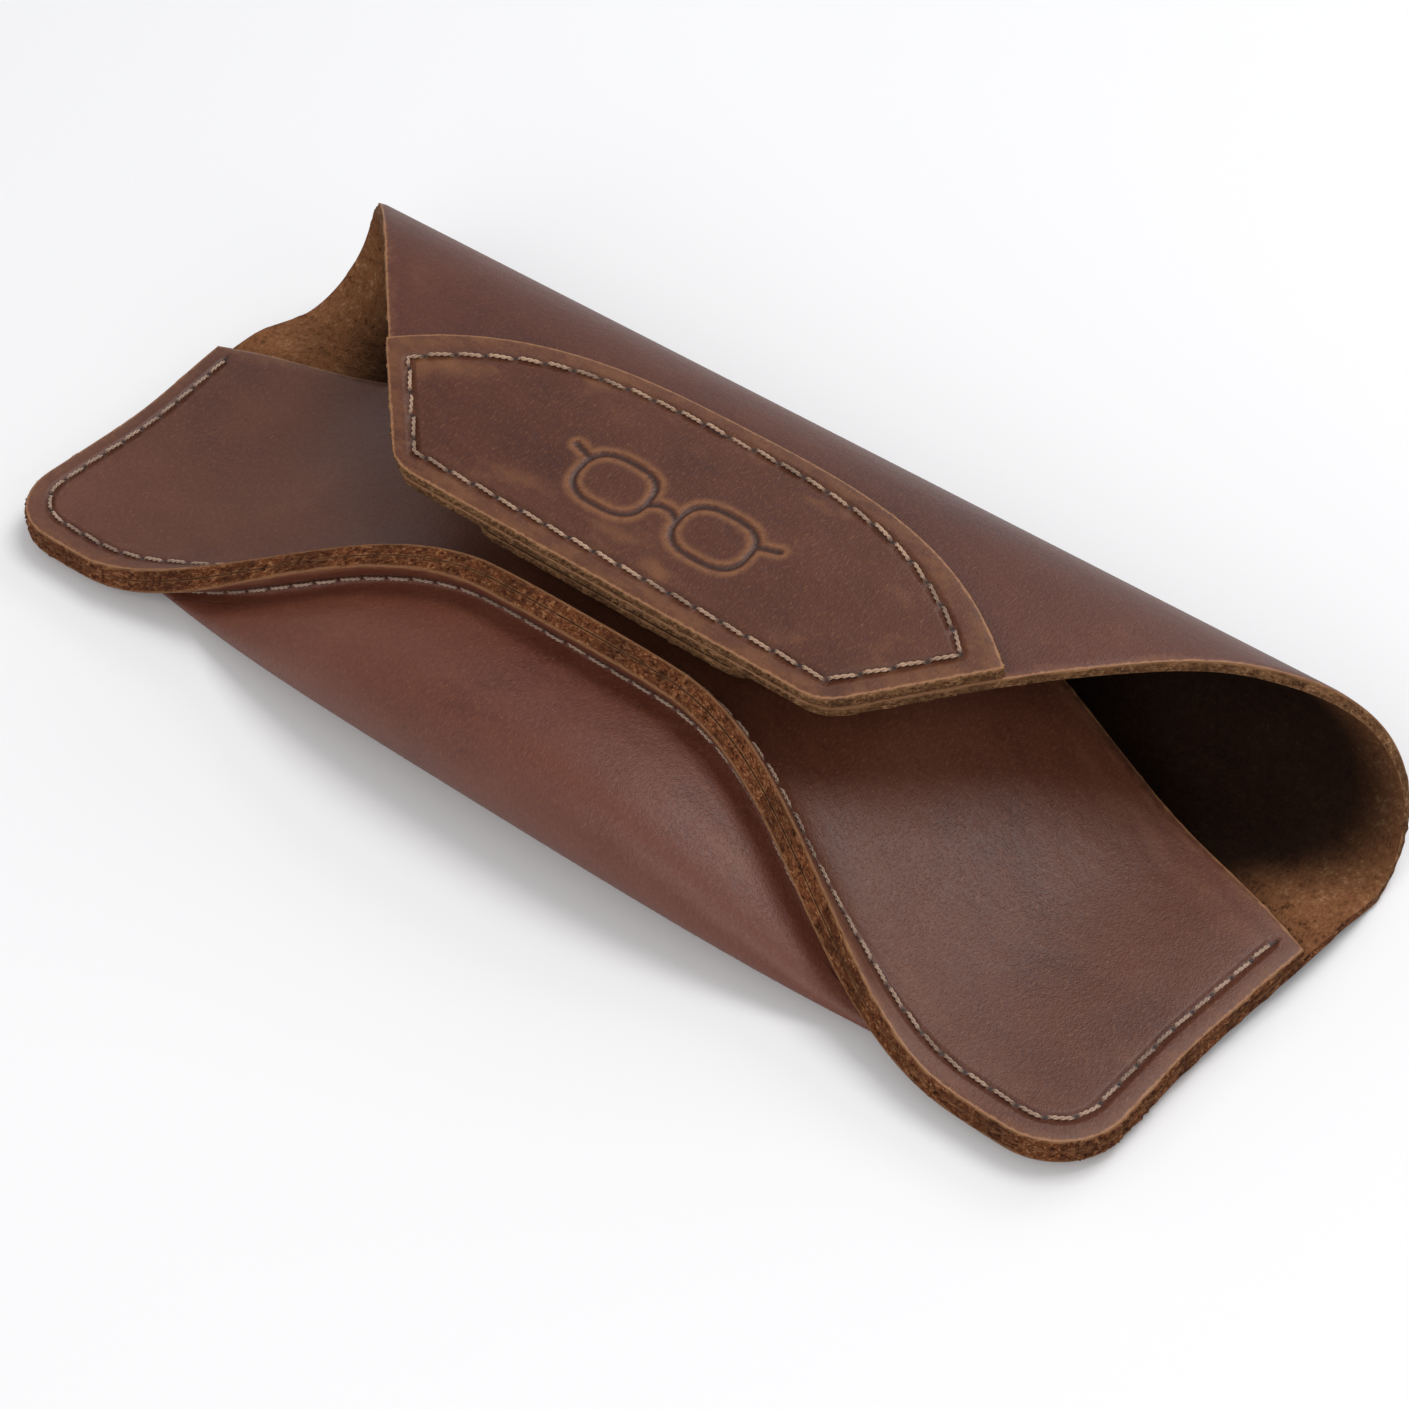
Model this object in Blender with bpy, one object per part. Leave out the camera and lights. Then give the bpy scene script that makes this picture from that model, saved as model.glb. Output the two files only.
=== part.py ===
"""Leather eyeglasses case, lying on its back and closed.

+X runs along the case, +Y to the folded back, +Z up; the origin is on the table
under the middle of the case.  One sheet of leather makes the bottom, the roll at
the back and the flap; a second sheet is sewn to it along the front and the two
wings, and the glasses lie between the two.  All sizes below are millimetres.
"""
import math

import bmesh
import bpy
from mathutils import Matrix, Vector

MM = 0.001

# --- leather and clearances -------------------------------------------------------
LEATHER = 1.7            # thickness of every leather sheet
GAP = 0.3                # clearance between pieces that touch
THREAD_RADIUS = 0.25
SEAM_CLEARANCE = 0.45    # seam thread to the sheets, which curve two ways there
SEAM_INSET = 3.0         # seam line to the sewn edge
SEAM_END = 2.5           # the seam stops this far before the open end
PATCH_INSET = 2.7        # stitch line to the edge of the flap patch

# --- plan of the case -------------------------------------------------------------
CASE_WIDTH = 173.0       # over the open ends
ALONG = CASE_WIDTH / 173.0   # the shapes along the case keep their share of its width
WING_WIDTH = CASE_WIDTH - 4.4    # over the two sewn wings
WING_CORNER = 9.0        # radius of the wings' front corners
WING_FRONT = -34.3       # front edge of the wings
FLAT_START = -6.0        # the sheet lies flat on the table behind this line
WING_LIFT = 1.2          # how far the sewn wings stand off the table
MOUTH_LIFT = 0.8         # further rise of the edge at each open end
LIFT_FROM_X = 60.0 * ALONG   # the sheets begin to leave the table here
LIFT_RUN = 22.0 * ALONG      # and have all their lift this much further out
LIFT_Y = -10.0           # the mouth's rise begins at this line
LIFT_Y_RUN = 18.0
LIFT_END_Y = 24.0        # the roll rests on the table behind this line
LIFT_END_RUN = 11.0

# --- sewn front edge --------------------------------------------------------------
EDGE_Y = -16.7           # middle of the front edge, between the two sheets
EDGE_Z = 20.5
EDGE_LEAN = 62.0         # degrees the sewn edge turns up from level at the middle
EDGE_REACH = (50.0 * ALONG, 3.2)     # half width and power of the raised part of the edge
EDGE_SWEEP = (14.0 * ALONG, 54.0 * ALONG)    # from this x, over this run, it moves out to the wings
LEAN_SWEEP = (36.0 * ALONG, 32.0 * ALONG)    # from this x, over this run, it lies down level
FIN_RUNS = (1.6, 3.2, 4.8)   # control points that hold the two sheets parallel
BULGE_Y = -37.2          # foremost control line of the rounded front
BULGE_Z = EDGE_Z - 2.5
BULGE_REACH = (44.0 * ALONG, 3.0)    # half width and power of the rounded front
BULGE_FULLNESS = 0.25    # how much longer it keeps its depth than its height
BULGE_LINES = ((-24.0, BULGE_Y + 1.0), (-18.0, BULGE_Y), (-11.0, -20.0))
                         # y of its control lines: at the wings, at the middle

# --- front panel ------------------------------------------------------------------
PANEL_BACK = 24.0        # free back edge at the middle
PANEL_ARC = 225.0 * ALONG    # radius of that edge in plan
PANEL_TOP = 20.5         # grain side under the flap
PANEL_REACH = (51.6 * ALONG, 3.3)    # half width and power of the raised middle
PANEL_LINES = ((0.0, 5.0), (4.0, 14.0))   # y of its control lines: wings, middle
PANEL_SLOPE_Y = -4.0     # foremost control line of its slope under the flap
PANEL_ROOT = 8.0         # that line's distance behind the fin at the wings
PANEL_END_DROP = 0.8     # how far its free edge dips

# --- back roll and flap -----------------------------------------------------------
ROLL_START = 23.0        # where the bottom begins to turn up
ROLL_LOW_RADIUS = 10.5
ROLL_TOP_Y = 14.0        # crest of the roll
CASE_HEIGHT = 28.4       # crest of the roll above the table, patch not included
FLAP_SLOPE = 15.0        # degrees the closed flap falls towards the front
FLAP_BEND = 60.0         # radius that leads the crest into that slope
FLAP_END_Y = -12.4       # lower edge of the flap
TAPER_START = 19.0       # where the side edge leaves the full width
TAPER_RADIUS = 55.6      # side edge turns on this radius to 45 degrees
FLAP_CORNER = 7.0
PATCH_LENGTH = 14.6      # straight side of the patch, along the flap
PATCH_RISE = 13.0        # how far its upper edge arches above its corners
BACKING_HALF_WIDTH = 23.0
BACKING_LENGTH = 22.0
BACKING_CORNER = 5.0
ARCH_POWER = 3           # flatness of the patch's arched upper edge
ARCH_INSET = 1.5         # stitch line to that edge at the middle
ARCH_SHOULDER = 1.1      # the same line to the patch's upper corners

# --- magnetic closure -------------------------------------------------------------
MAGNET_RADIUS = 6.0
MAGNET_THICKNESS = 1.2
MAGNET_INSET = 13.5      # magnet centre to the flap's lower edge
COVER_RADIUS = 9.5
COVER_WALL = 1.0
COVER_STITCH_RADIUS = 8.4

# --- mesh density -----------------------------------------------------------------
STATIONS = 28            # steps along X
THREAD_STEP = 4.0        # spacing of the points of a thread
SECTION_STEPS = 80       # steps along a section of the sewn front
FRONT_STEPS = (0, 2, 5, 9, 13, 17, 21, 25, 30, 35, 40, 45, 50, 56, 63, 71, 80)

HALF = CASE_WIDTH / 2
WING_HALF = WING_WIDTH / 2
SHEETS = 2 * LEATHER + GAP   # two sewn sheets together


# --- small helpers ----------------------------------------------------------------
def smooth(t):
    """Ease from 0 to 1 with level ends."""
    t = min(max(t, 0.0), 1.0)
    return t * t * (3 - 2 * t)


def mix(a, b, t):
    return a + (b - a) * t


def swell(x, reach):
    """Bell curve along the case, 1 at the middle; reach is its half width and power."""
    half, power = reach
    return math.exp(-(abs(x) / half) ** power)


def bspline(control, t):
    """Point at t (0..1) on the clamped cubic B-spline of a list of (y, z)."""
    spans = len(control) - 3
    knots = [0.0] * 3 + [i / spans for i in range(spans + 1)] + [1.0] * 3
    t = min(max(t, 0.0), 1.0 - 1e-9)
    k = 3 + int(t * spans)
    work = [Vector(control[k - 3 + i]) for i in range(4)]
    for level in range(1, 4):
        for i in range(3, level - 1, -1):
            low = knots[k - 3 + i]
            high = knots[k + 1 + i - level]
            work[i] = work[i - 1].lerp(work[i], (t - low) / (high - low))
    return work[3]


class Section:
    """A curve in the YZ plane, read by its length, with a normal to its left."""

    def __init__(self, points):
        self.points = points
        self.lengths = [0.0]
        for a, b in zip(points, points[1:]):
            self.lengths.append(self.lengths[-1] + (b - a).length)
        self.total = self.lengths[-1]

    def at(self, distance):
        """Point and left normal at a distance from the start."""
        distance = min(max(distance, 0.0), self.total)
        i = 0
        while i < len(self.points) - 2 and self.lengths[i + 1] < distance:
            i += 1
        a, b = self.points[i], self.points[i + 1]
        span = self.lengths[i + 1] - self.lengths[i]
        point = a.lerp(b, (distance - self.lengths[i]) / span)
        return point, self.normal(i, i + 1)

    def at_step(self, i):
        """Point and left normal at one of the points."""
        return self.points[i], self.normal(i, i)

    def normal(self, first, last):
        """Left normal over the points from first to last and their neighbours."""
        before = self.points[max(first - 1, 0)]
        after = self.points[min(last + 1, len(self.points) - 1)]
        along = (after - before).normalized()
        return Vector((-along.y, along.x))


def lift(x, y):
    """How far the sheets stand off the table near the wings and the open ends."""
    sideways = smooth((abs(x) - LIFT_FROM_X) / LIFT_RUN)
    height = WING_LIFT + MOUTH_LIFT * smooth((y - LIFT_Y) / LIFT_Y_RUN)
    ahead = smooth((LIFT_END_Y - y) / LIFT_END_RUN)
    return sideways * height * ahead


def placed(x, yz):
    """World position in millimetres of a section point, wings lifted."""
    return Vector((x, yz[0], yz[1] + lift(x, yz[0])))


# --- shape of the sewn front ------------------------------------------------------
def fin(x):
    """Sewn edge at x: its middle point and the direction it points in."""
    x = abs(x)
    forward = smooth((x - EDGE_SWEEP[0]) / EDGE_SWEEP[1])
    height = swell(x, EDGE_REACH)
    edge = Vector((mix(EDGE_Y, WING_FRONT, forward),
                   mix(SHEETS / 2, EDGE_Z, height)))
    lean = EDGE_LEAN * (1 - smooth((x - LEAN_SWEEP[0]) / LEAN_SWEEP[1]))
    turn = math.radians(180 - lean)
    return edge, Vector((math.cos(turn), math.sin(turn)))


def shell_front(x):
    """Grain side of the outer sheet, from the sewn edge round the front bulge."""
    edge, out = fin(x)
    side = Vector((out.y, -out.x))
    bulge = swell(x, BULGE_REACH)
    reach = bulge ** BULGE_FULLNESS
    tip = edge - side * (SHEETS / 2)
    control = [tip] + [tip - out * run for run in FIN_RUNS]
    heights = (BULGE_Z * bulge, 0.0, 0.0)
    control += [(mix(*line, reach), z) for line, z in zip(BULGE_LINES, heights)]
    control.append((FLAT_START, 0.0))
    return Section([bspline(control, i / SECTION_STEPS) for i in range(SECTION_STEPS + 1)])


def panel_back(x):
    """Y of the front panel's free edge."""
    return PANEL_BACK - PANEL_ARC + math.sqrt(PANEL_ARC ** 2 - x * x)


def panel_section(x):
    """Grain side of the front panel, from the sewn edge to its free edge."""
    edge, out = fin(x)
    side = Vector((out.y, -out.x))
    rise = swell(x, PANEL_REACH)
    tip = edge + side * (SHEETS / 2)
    root = tip - out * FIN_RUNS[-1]
    fall = math.tan(math.radians(FLAP_SLOPE))
    control = [tip] + [tip - out * run for run in FIN_RUNS]
    for level, raised in ((root.x + PANEL_ROOT, PANEL_SLOPE_Y), *PANEL_LINES):
        top = PANEL_TOP - (PANEL_LINES[-1][1] - raised) * fall
        control.append((mix(level, raised, rise), mix(SHEETS, top, rise)))
    control.append((panel_back(x), mix(SHEETS, PANEL_TOP, rise) - PANEL_END_DROP * rise))
    return Section([bspline(control, i / SECTION_STEPS) for i in range(SECTION_STEPS + 1)])


def wing_edge(y):
    """Half width of the sewn wings at y, with the round front corner."""
    half = mix(WING_HALF, HALF, smooth((y + 15) / 30))
    behind = y - WING_FRONT
    if behind >= WING_CORNER:
        return half
    inward = WING_CORNER - math.sqrt(WING_CORNER ** 2 - (WING_CORNER - behind) ** 2)
    return half - inward


# --- shape of the bottom, roll and flap -------------------------------------------
def roll_section():
    """Grain side of the outer sheet from the flat bottom to the flap's end."""
    points = [Vector((FLAT_START, 0.0)), Vector((ROLL_START, 0.0))]
    for i in range(1, 25):
        turn = math.radians(90 * i / 24)
        points.append(Vector((ROLL_START + ROLL_LOW_RADIUS * math.sin(turn),
                              ROLL_LOW_RADIUS * (1 - math.cos(turn)))))
    width = ROLL_START + ROLL_LOW_RADIUS - ROLL_TOP_Y
    height = CASE_HEIGHT - ROLL_LOW_RADIUS
    for i in range(1, 37):
        turn = math.radians(90 * i / 36)
        points.append(Vector((ROLL_TOP_Y + width * math.cos(turn),
                              ROLL_LOW_RADIUS + height * math.sin(turn))))
    for i in range(1, 9):
        turn = math.radians(FLAP_SLOPE * i / 8)
        points.append(Vector((ROLL_TOP_Y - FLAP_BEND * math.sin(turn),
                              CASE_HEIGHT - FLAP_BEND * (1 - math.cos(turn)))))
    last = points[-1]
    fall = (last.x - FLAP_END_Y) * math.tan(math.radians(FLAP_SLOPE))
    points.append(Vector((FLAP_END_Y, last.y - fall)))
    return Section(points)


ROLL = roll_section()
FLAP_END = ROLL.total
TAPER_AT = TAPER_START - FLAT_START
STRAIGHT_AT = TAPER_AT + TAPER_RADIUS * math.sin(math.radians(45))
STRAIGHT_HALF = HALF - TAPER_RADIUS * (1 - math.cos(math.radians(45)))
LOW_ROLL_END = ROLL_START - FLAT_START + ROLL_LOW_RADIUS * math.pi / 2
CREST_AT = FLAP_END - FLAP_BEND * math.radians(FLAP_SLOPE) \
    - (ROLL.points[-1] - ROLL.points[-2]).length
HINGE_AT = (LOW_ROLL_END + CREST_AT) / 2
PATCH_AT = FLAP_END - PATCH_LENGTH


def sheet_edge(distance):
    """Half width of the outer sheet at a distance along its roll section."""
    if distance <= TAPER_AT:
        return wing_edge(FLAT_START + distance)
    if distance <= STRAIGHT_AT:
        run = distance - TAPER_AT
        return HALF - TAPER_RADIUS + math.sqrt(TAPER_RADIUS ** 2 - run * run)
    half = STRAIGHT_HALF - (distance - STRAIGHT_AT)
    corner_centre = FLAP_END - FLAP_CORNER
    if distance <= corner_centre + FLAP_CORNER * math.cos(math.radians(45)):
        return half
    end_half = STRAIGHT_HALF - (FLAP_END - STRAIGHT_AT)
    centre_x = end_half - FLAP_CORNER * math.tan(math.radians(22.5))
    return centre_x + math.sqrt(max(FLAP_CORNER ** 2 - (distance - corner_centre) ** 2, 0))


def roll_point(x, distance, outward):
    """World point over the roll section, outward of the grain side."""
    point, normal = ROLL.at(distance)
    return placed(x, point - normal * outward)


# --- mesh building ----------------------------------------------------------------
def material(name, colour, roughness, metallic=0.0):
    made = bpy.data.materials.new(name)
    made.use_nodes = True
    shader = made.node_tree.nodes["Principled BSDF"]
    shader.inputs["Base Color"].default_value = (*colour, 1.0)
    shader.inputs["Roughness"].default_value = roughness
    shader.inputs["Metallic"].default_value = metallic
    return made


def add_object(name, bm, look, parent=None):
    """Object from a bmesh in millimetres; a parent's place is taken off its mesh."""
    bmesh.ops.recalc_face_normals(bm, faces=bm.faces)
    bmesh.ops.scale(bm, verts=bm.verts, vec=(MM, MM, MM))
    if parent:
        bmesh.ops.translate(bm, verts=bm.verts, vec=-parent.location)
    mesh = bpy.data.meshes.new(name)
    bm.to_mesh(mesh)
    bm.free()
    mesh.shade_smooth()
    mesh.set_sharp_from_angle(angle=math.radians(35))
    made = bpy.data.objects.new(name, mesh)
    bpy.context.collection.objects.link(made)
    made.data.materials.append(look)
    made.parent = parent
    return made


def sheet(name, grain, flesh, look, parent=None):
    """Closed solid between two grids of points of the same size."""
    bm = bmesh.new()
    top = [[bm.verts.new(p) for p in row] for row in grain]
    low = [[bm.verts.new(p) for p in row] for row in flesh]
    rows, columns = len(grain), len(grain[0])
    for i in range(rows - 1):
        for j in range(columns - 1):
            bm.faces.new((top[i][j], top[i][j + 1], top[i + 1][j + 1], top[i + 1][j]))
            bm.faces.new((low[i][j], low[i + 1][j], low[i + 1][j + 1], low[i][j + 1]))
    rim = [(0, j) for j in range(columns)]
    rim += [(i, columns - 1) for i in range(1, rows)]
    rim += [(rows - 1, j) for j in range(columns - 2, -1, -1)]
    rim += [(i, 0) for i in range(rows - 2, 0, -1)]
    for (i, j), (k, m) in zip(rim, rim[1:] + rim[:1]):
        bm.faces.new((top[k][m], top[i][j], low[i][j], low[k][m]))
    return add_object(name, bm, look, parent)


def across(count):
    """Even steps from -1 to 1."""
    return [2 * j / count - 1 for j in range(count + 1)]


def front_grids(section_at, flesh_side):
    """Grain and flesh grids of a sheet that starts at the sewn edge."""
    grain, flesh = [], []
    for step in FRONT_STEPS:
        half = wing_edge(section_at(WING_HALF).points[step].x)
        grain.append([])
        flesh.append([])
        for u in across(STATIONS):
            point, normal = section_at(u * half).at_step(step)
            grain[-1].append(placed(u * half, point))
            flesh[-1].append(placed(u * half, point + normal * flesh_side * LEATHER))
    return grain, flesh


def build_shell(look):
    """Bottom, front bulge and lower half of the back roll."""
    grain, flesh = front_grids(shell_front, 1)
    stops = [9.0, 18.0, ROLL_START - FLAT_START]
    stops += [mix(stops[-1], LOW_ROLL_END, i / 5) for i in range(1, 6)]
    stops += [mix(LOW_ROLL_END, HINGE_AT - GAP / 2, i / 4) for i in range(1, 5)]
    for stop in stops:
        half = sheet_edge(stop)
        grain.append([roll_point(u * half, stop, 0) for u in across(STATIONS)])
        flesh.append([roll_point(u * half, stop, -LEATHER) for u in across(STATIONS)])
    return sheet("outer_shell", grain, flesh, look)


def build_panel(look):
    """Panel sewn in front, its back edge free under the flap."""
    grain, flesh = front_grids(panel_section, -1)
    return sheet("front_panel", grain, flesh, look)


def corner_stops(start, count):
    """Distances along the flap from start to its end, closer together at its corner."""
    return [mix(start, FLAP_END, 1 - (1 - i / count) ** 1.5) for i in range(count + 1)]


def build_flap(look, hinge):
    """The outer sheet past the hinge line, with a round window for its magnet."""
    stops = [mix(HINGE_AT + GAP / 2, CREST_AT, i / 4) for i in range(4)]
    stops += corner_stops(CREST_AT, 9)
    grain = [[roll_point(u * sheet_edge(s), s, 0) for u in across(16)] for s in stops]
    flesh = [[roll_point(u * sheet_edge(s), s, -LEATHER) for u in across(16)] for s in stops]
    flap = sheet("flap", grain, flesh, look, hinge)
    window = bpy.data.meshes.new("magnet_window_cutter")
    bm = bmesh.new()
    bmesh.ops.create_cone(bm, cap_ends=True, segments=24, depth=4 * LEATHER * MM,
                          radius1=(MAGNET_RADIUS + GAP) * MM,
                          radius2=(MAGNET_RADIUS + GAP) * MM)
    bm.to_mesh(window)
    bm.free()
    cutter = bpy.data.objects.new("magnet_window_cutter", window)
    bpy.context.collection.objects.link(cutter)
    cutter.matrix_world = flap_frame(-LEATHER / 2)
    cutter.hide_render = True
    cutter.display_type = "WIRE"
    cut = flap.modifiers.new("magnet_window", "BOOLEAN")
    cut.operation = "DIFFERENCE"
    cut.object = cutter
    return flap


def flap_frame(outward):
    """Frame on the flap over the magnet: Z outward, metres."""
    point, normal = ROLL.at(FLAP_END - MAGNET_INSET)
    centre = placed(0, point - normal * outward)
    tilt = math.atan2(normal.x, -normal.y)
    return Matrix.Translation(centre * MM) @ Matrix.Rotation(tilt, 4, "X")


def build_patch(look, hinge):
    """Piece sewn on the flap's end: its lower sides are the flap's, its top an arch."""
    low, high = GAP, GAP + LEATHER
    grids = ([], [])
    for row in range(8):
        k = 1 - (1 - row / 7) ** 1.5
        side = mix(PATCH_AT, FLAP_END, k)
        half = sheet_edge(side)
        for grid, outward in zip(grids, (high, low)):
            grid.append([roll_point(u * half,
                                    side - (1 - k) * PATCH_RISE * (1 - abs(u) ** ARCH_POWER),
                                    outward) for u in across(16)])
    return sheet("flap_patch", grids[0], grids[1], look, hinge)


def build_backing(look, hinge):
    """Round-cornered piece under the flap's end, closing the magnet's window."""
    high, low = -LEATHER - GAP, -2 * LEATHER - GAP
    start = FLAP_END - BACKING_LENGTH
    grids = ([], [])
    for row in range(9):
        reach = BACKING_LENGTH * (1 - math.cos(math.pi * row / 8)) / 2
        near_end = min(reach, BACKING_LENGTH - reach)
        inward = 0.0
        if near_end < BACKING_CORNER:
            inward = BACKING_CORNER - math.sqrt(
                BACKING_CORNER ** 2 - (BACKING_CORNER - near_end) ** 2)
        half = BACKING_HALF_WIDTH - inward
        for grid, outward in zip(grids, (high, low)):
            grid.append([roll_point(u * half, start + reach, outward) for u in across(6)])
    return sheet("flap_backing", grids[0], grids[1], look, hinge)


def thread(name, route, look, parent=None, closed=False):
    """Strand through a route of world points in millimetres, a ring when closed."""
    curve = bpy.data.curves.new(name, "CURVE")
    curve.dimensions = "3D"
    curve.bevel_depth = THREAD_RADIUS * MM
    curve.bevel_resolution = 1
    curve.use_fill_caps = not closed
    spline = curve.splines.new("POLY")
    spline.use_cyclic_u = closed
    spline.points.add(len(route) - 1)
    base = parent.location if parent else Vector((0, 0, 0))
    for point, place in zip(spline.points, route):
        point.co = (*(place * MM - base), 1.0)
    curve.materials.append(look)
    made = bpy.data.objects.new(name, curve)
    bpy.context.collection.objects.link(made)
    made.parent = parent
    return made


def seam_plan():
    """Seam line as (x, distance behind the sewn edge), from one mouth to the other."""
    turn_radius = WING_CORNER - SEAM_INSET
    side = []
    end = panel_back(WING_HALF) - SEAM_END
    runs = int((end - WING_FRONT - WING_CORNER) / THREAD_STEP)
    for i in range(runs, 0, -1):
        y = mix(WING_FRONT + WING_CORNER, end, i / runs)
        side.append((wing_edge(y) - SEAM_INSET, y - WING_FRONT))
    for i in range(5, 0, -1):
        turn = math.radians(90 * i / 5)
        side.append((WING_HALF - WING_CORNER + turn_radius * math.sin(turn),
                     WING_CORNER - turn_radius * math.cos(turn)))
    front_half = WING_HALF - WING_CORNER
    runs = int(2 * front_half / THREAD_STEP)
    front = [(mix(front_half, -front_half, i / runs), SEAM_INSET) for i in range(runs + 1)]
    return side + front + [(-x, behind) for x, behind in reversed(side)]


def front_point(section_at, x, behind, outward):
    """World point off the grain side of a sewn sheet, along its true normal."""
    point, normal = section_at(x).at(behind)
    along = placed(x + 1, section_at(x + 1).at(behind)[0])
    along -= placed(x - 1, section_at(x - 1).at(behind)[0])
    down = Vector((0, normal.y, -normal.x))
    square = along.cross(down).normalized()
    if square.dot(Vector((0, normal.x, normal.y))) < 0:
        square.negate()
    return placed(x, point) + square * outward


def build_seam_threads(look):
    stand_off = SEAM_CLEARANCE + THREAD_RADIUS
    thread("seam_needle_thread",
           [front_point(panel_section, x, behind, stand_off) for x, behind in seam_plan()],
           look)
    thread("seam_bobbin_thread",
           [front_point(shell_front, x, behind, -stand_off) for x, behind in seam_plan()],
           look)


def patch_line():
    """Ends of the patch's stitch lines: (half width, distance) low and high."""
    slant = PATCH_INSET * math.sqrt(2)
    low = FLAP_END - PATCH_INSET
    high = PATCH_AT + ARCH_SHOULDER
    low_half = STRAIGHT_HALF - (low - STRAIGHT_AT) - slant
    high_half = STRAIGHT_HALF - (high - STRAIGHT_AT) - slant
    return (low_half, low), (high_half, high)


def patch_sides_and_arch():
    """Stitch line from the right lower corner, over the arch, to the left one."""
    (low_half, low), (high_half, high) = patch_line()
    rise = PATCH_RISE - ARCH_INSET
    plan = [(mix(low_half, high_half, i / 4), mix(low, high, i / 4)) for i in range(4)]
    for i in range(21):
        u = 1 - i / 10
        plan.append((u * high_half, high - rise * (1 - abs(u) ** ARCH_POWER)))
    plan += [(mix(-high_half, -low_half, i / 4), mix(high, low, i / 4)) for i in range(1, 5)]
    return plan


def build_patch_threads(look, hinge):
    """Needle thread on the patch; bobbin thread under the flap and its backing."""
    (low_half, low), _ = patch_line()
    over = 2 * GAP + LEATHER + THREAD_RADIUS
    route = patch_sides_and_arch()
    route += [(mix(-low_half, low_half, i / 12), low) for i in range(1, 12)]
    thread("patch_needle_thread", [roll_point(x, s, over) for x, s in route], look, hinge)

    under_flap = -LEATHER - GAP - THREAD_RADIUS
    under_backing = under_flap - LEATHER - GAP
    step_x = BACKING_HALF_WIDTH + GAP + THREAD_RADIUS
    last_x = low_half - THREAD_STEP / 2
    route = [roll_point(x, s, under_flap) for x, s in patch_sides_and_arch()]
    route += [roll_point(-step_x, low, depth) for depth in (under_flap, under_backing)]
    route += [roll_point(mix(-step_x, step_x, i / 8), low, under_backing) for i in range(1, 8)]
    route += [roll_point(step_x, low, depth) for depth in (under_backing, under_flap)]
    route.append(roll_point(last_x, low, under_flap))
    thread("patch_bobbin_thread", route, look, hinge)


def disc(name, frame, radius, thickness, look, parent=None):
    bm = bmesh.new()
    bmesh.ops.create_cone(bm, cap_ends=True, segments=24, depth=thickness,
                          radius1=radius, radius2=radius)
    bmesh.ops.transform(bm, matrix=Matrix.Scale(1 / MM, 4) @ frame @ Matrix.Scale(MM, 4),
                        verts=bm.verts)
    return add_object(name, bm, look, parent)


def magnet_distance():
    """Distance of the lower magnet behind the sewn edge, under the flap's magnet."""
    over = ROLL.at(FLAP_END - MAGNET_INSET)[0]
    section = panel_section(0)
    distance = section.total / 3
    while section.at(distance)[0].x < over.x:
        distance += 0.1
    return distance


def panel_frame(outward):
    """Frame on the front panel under the flap's magnet: Z outward, metres."""
    point, normal = panel_section(0).at(magnet_distance())
    centre = placed(0, point + normal * outward)
    tilt = math.atan2(-normal.x, normal.y)
    return Matrix.Translation(centre * MM) @ Matrix.Rotation(tilt, 4, "X")


def build_magnet_cover(look):
    """Moulded leather cup that holds the lower magnet to the panel's flesh side."""
    top = -LEATHER - 2 * GAP
    inner = MAGNET_RADIUS + GAP
    floor = top - MAGNET_THICKNESS - GAP
    profile = [(inner, top), (COVER_RADIUS, top), (COVER_RADIUS, top - COVER_WALL),
               (inner + COVER_WALL, top - COVER_WALL), (inner + COVER_WALL, floor - COVER_WALL),
               (0.0, floor - COVER_WALL), (0.0, floor), (inner, floor)]
    bm = bmesh.new()
    ring = [bm.verts.new((r, 0, z)) for r, z in profile]
    edges = [bm.edges.new((a, b)) for a, b in zip(ring, ring[1:] + ring[:1])
             if not (a.co.x == 0 and b.co.x == 0)]
    bmesh.ops.spin(bm, geom=ring + edges, cent=(0, 0, 0), axis=(0, 0, 1),
                   angle=2 * math.pi, steps=24, use_merge=True)
    bmesh.ops.remove_doubles(bm, verts=bm.verts, dist=0.001)
    frame = panel_frame(0)
    bmesh.ops.transform(bm, matrix=Matrix.Scale(1 / MM, 4) @ frame @ Matrix.Scale(MM, 4),
                        verts=bm.verts)
    return add_object("magnet_cover", bm, look)


def build_cover_thread(look):
    """Ring of stitching that holds the magnet cover, on the panel's grain side."""
    centre = magnet_distance()
    route = []
    for i in range(24):
        turn = 2 * math.pi * i / 24
        x = COVER_STITCH_RADIUS * math.cos(turn)
        behind = centre + COVER_STITCH_RADIUS * math.sin(turn)
        point, normal = panel_section(x).at(behind)
        route.append(placed(x, point + normal * (GAP + THREAD_RADIUS)))
    thread("cover_thread", route, look, closed=True)


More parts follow.
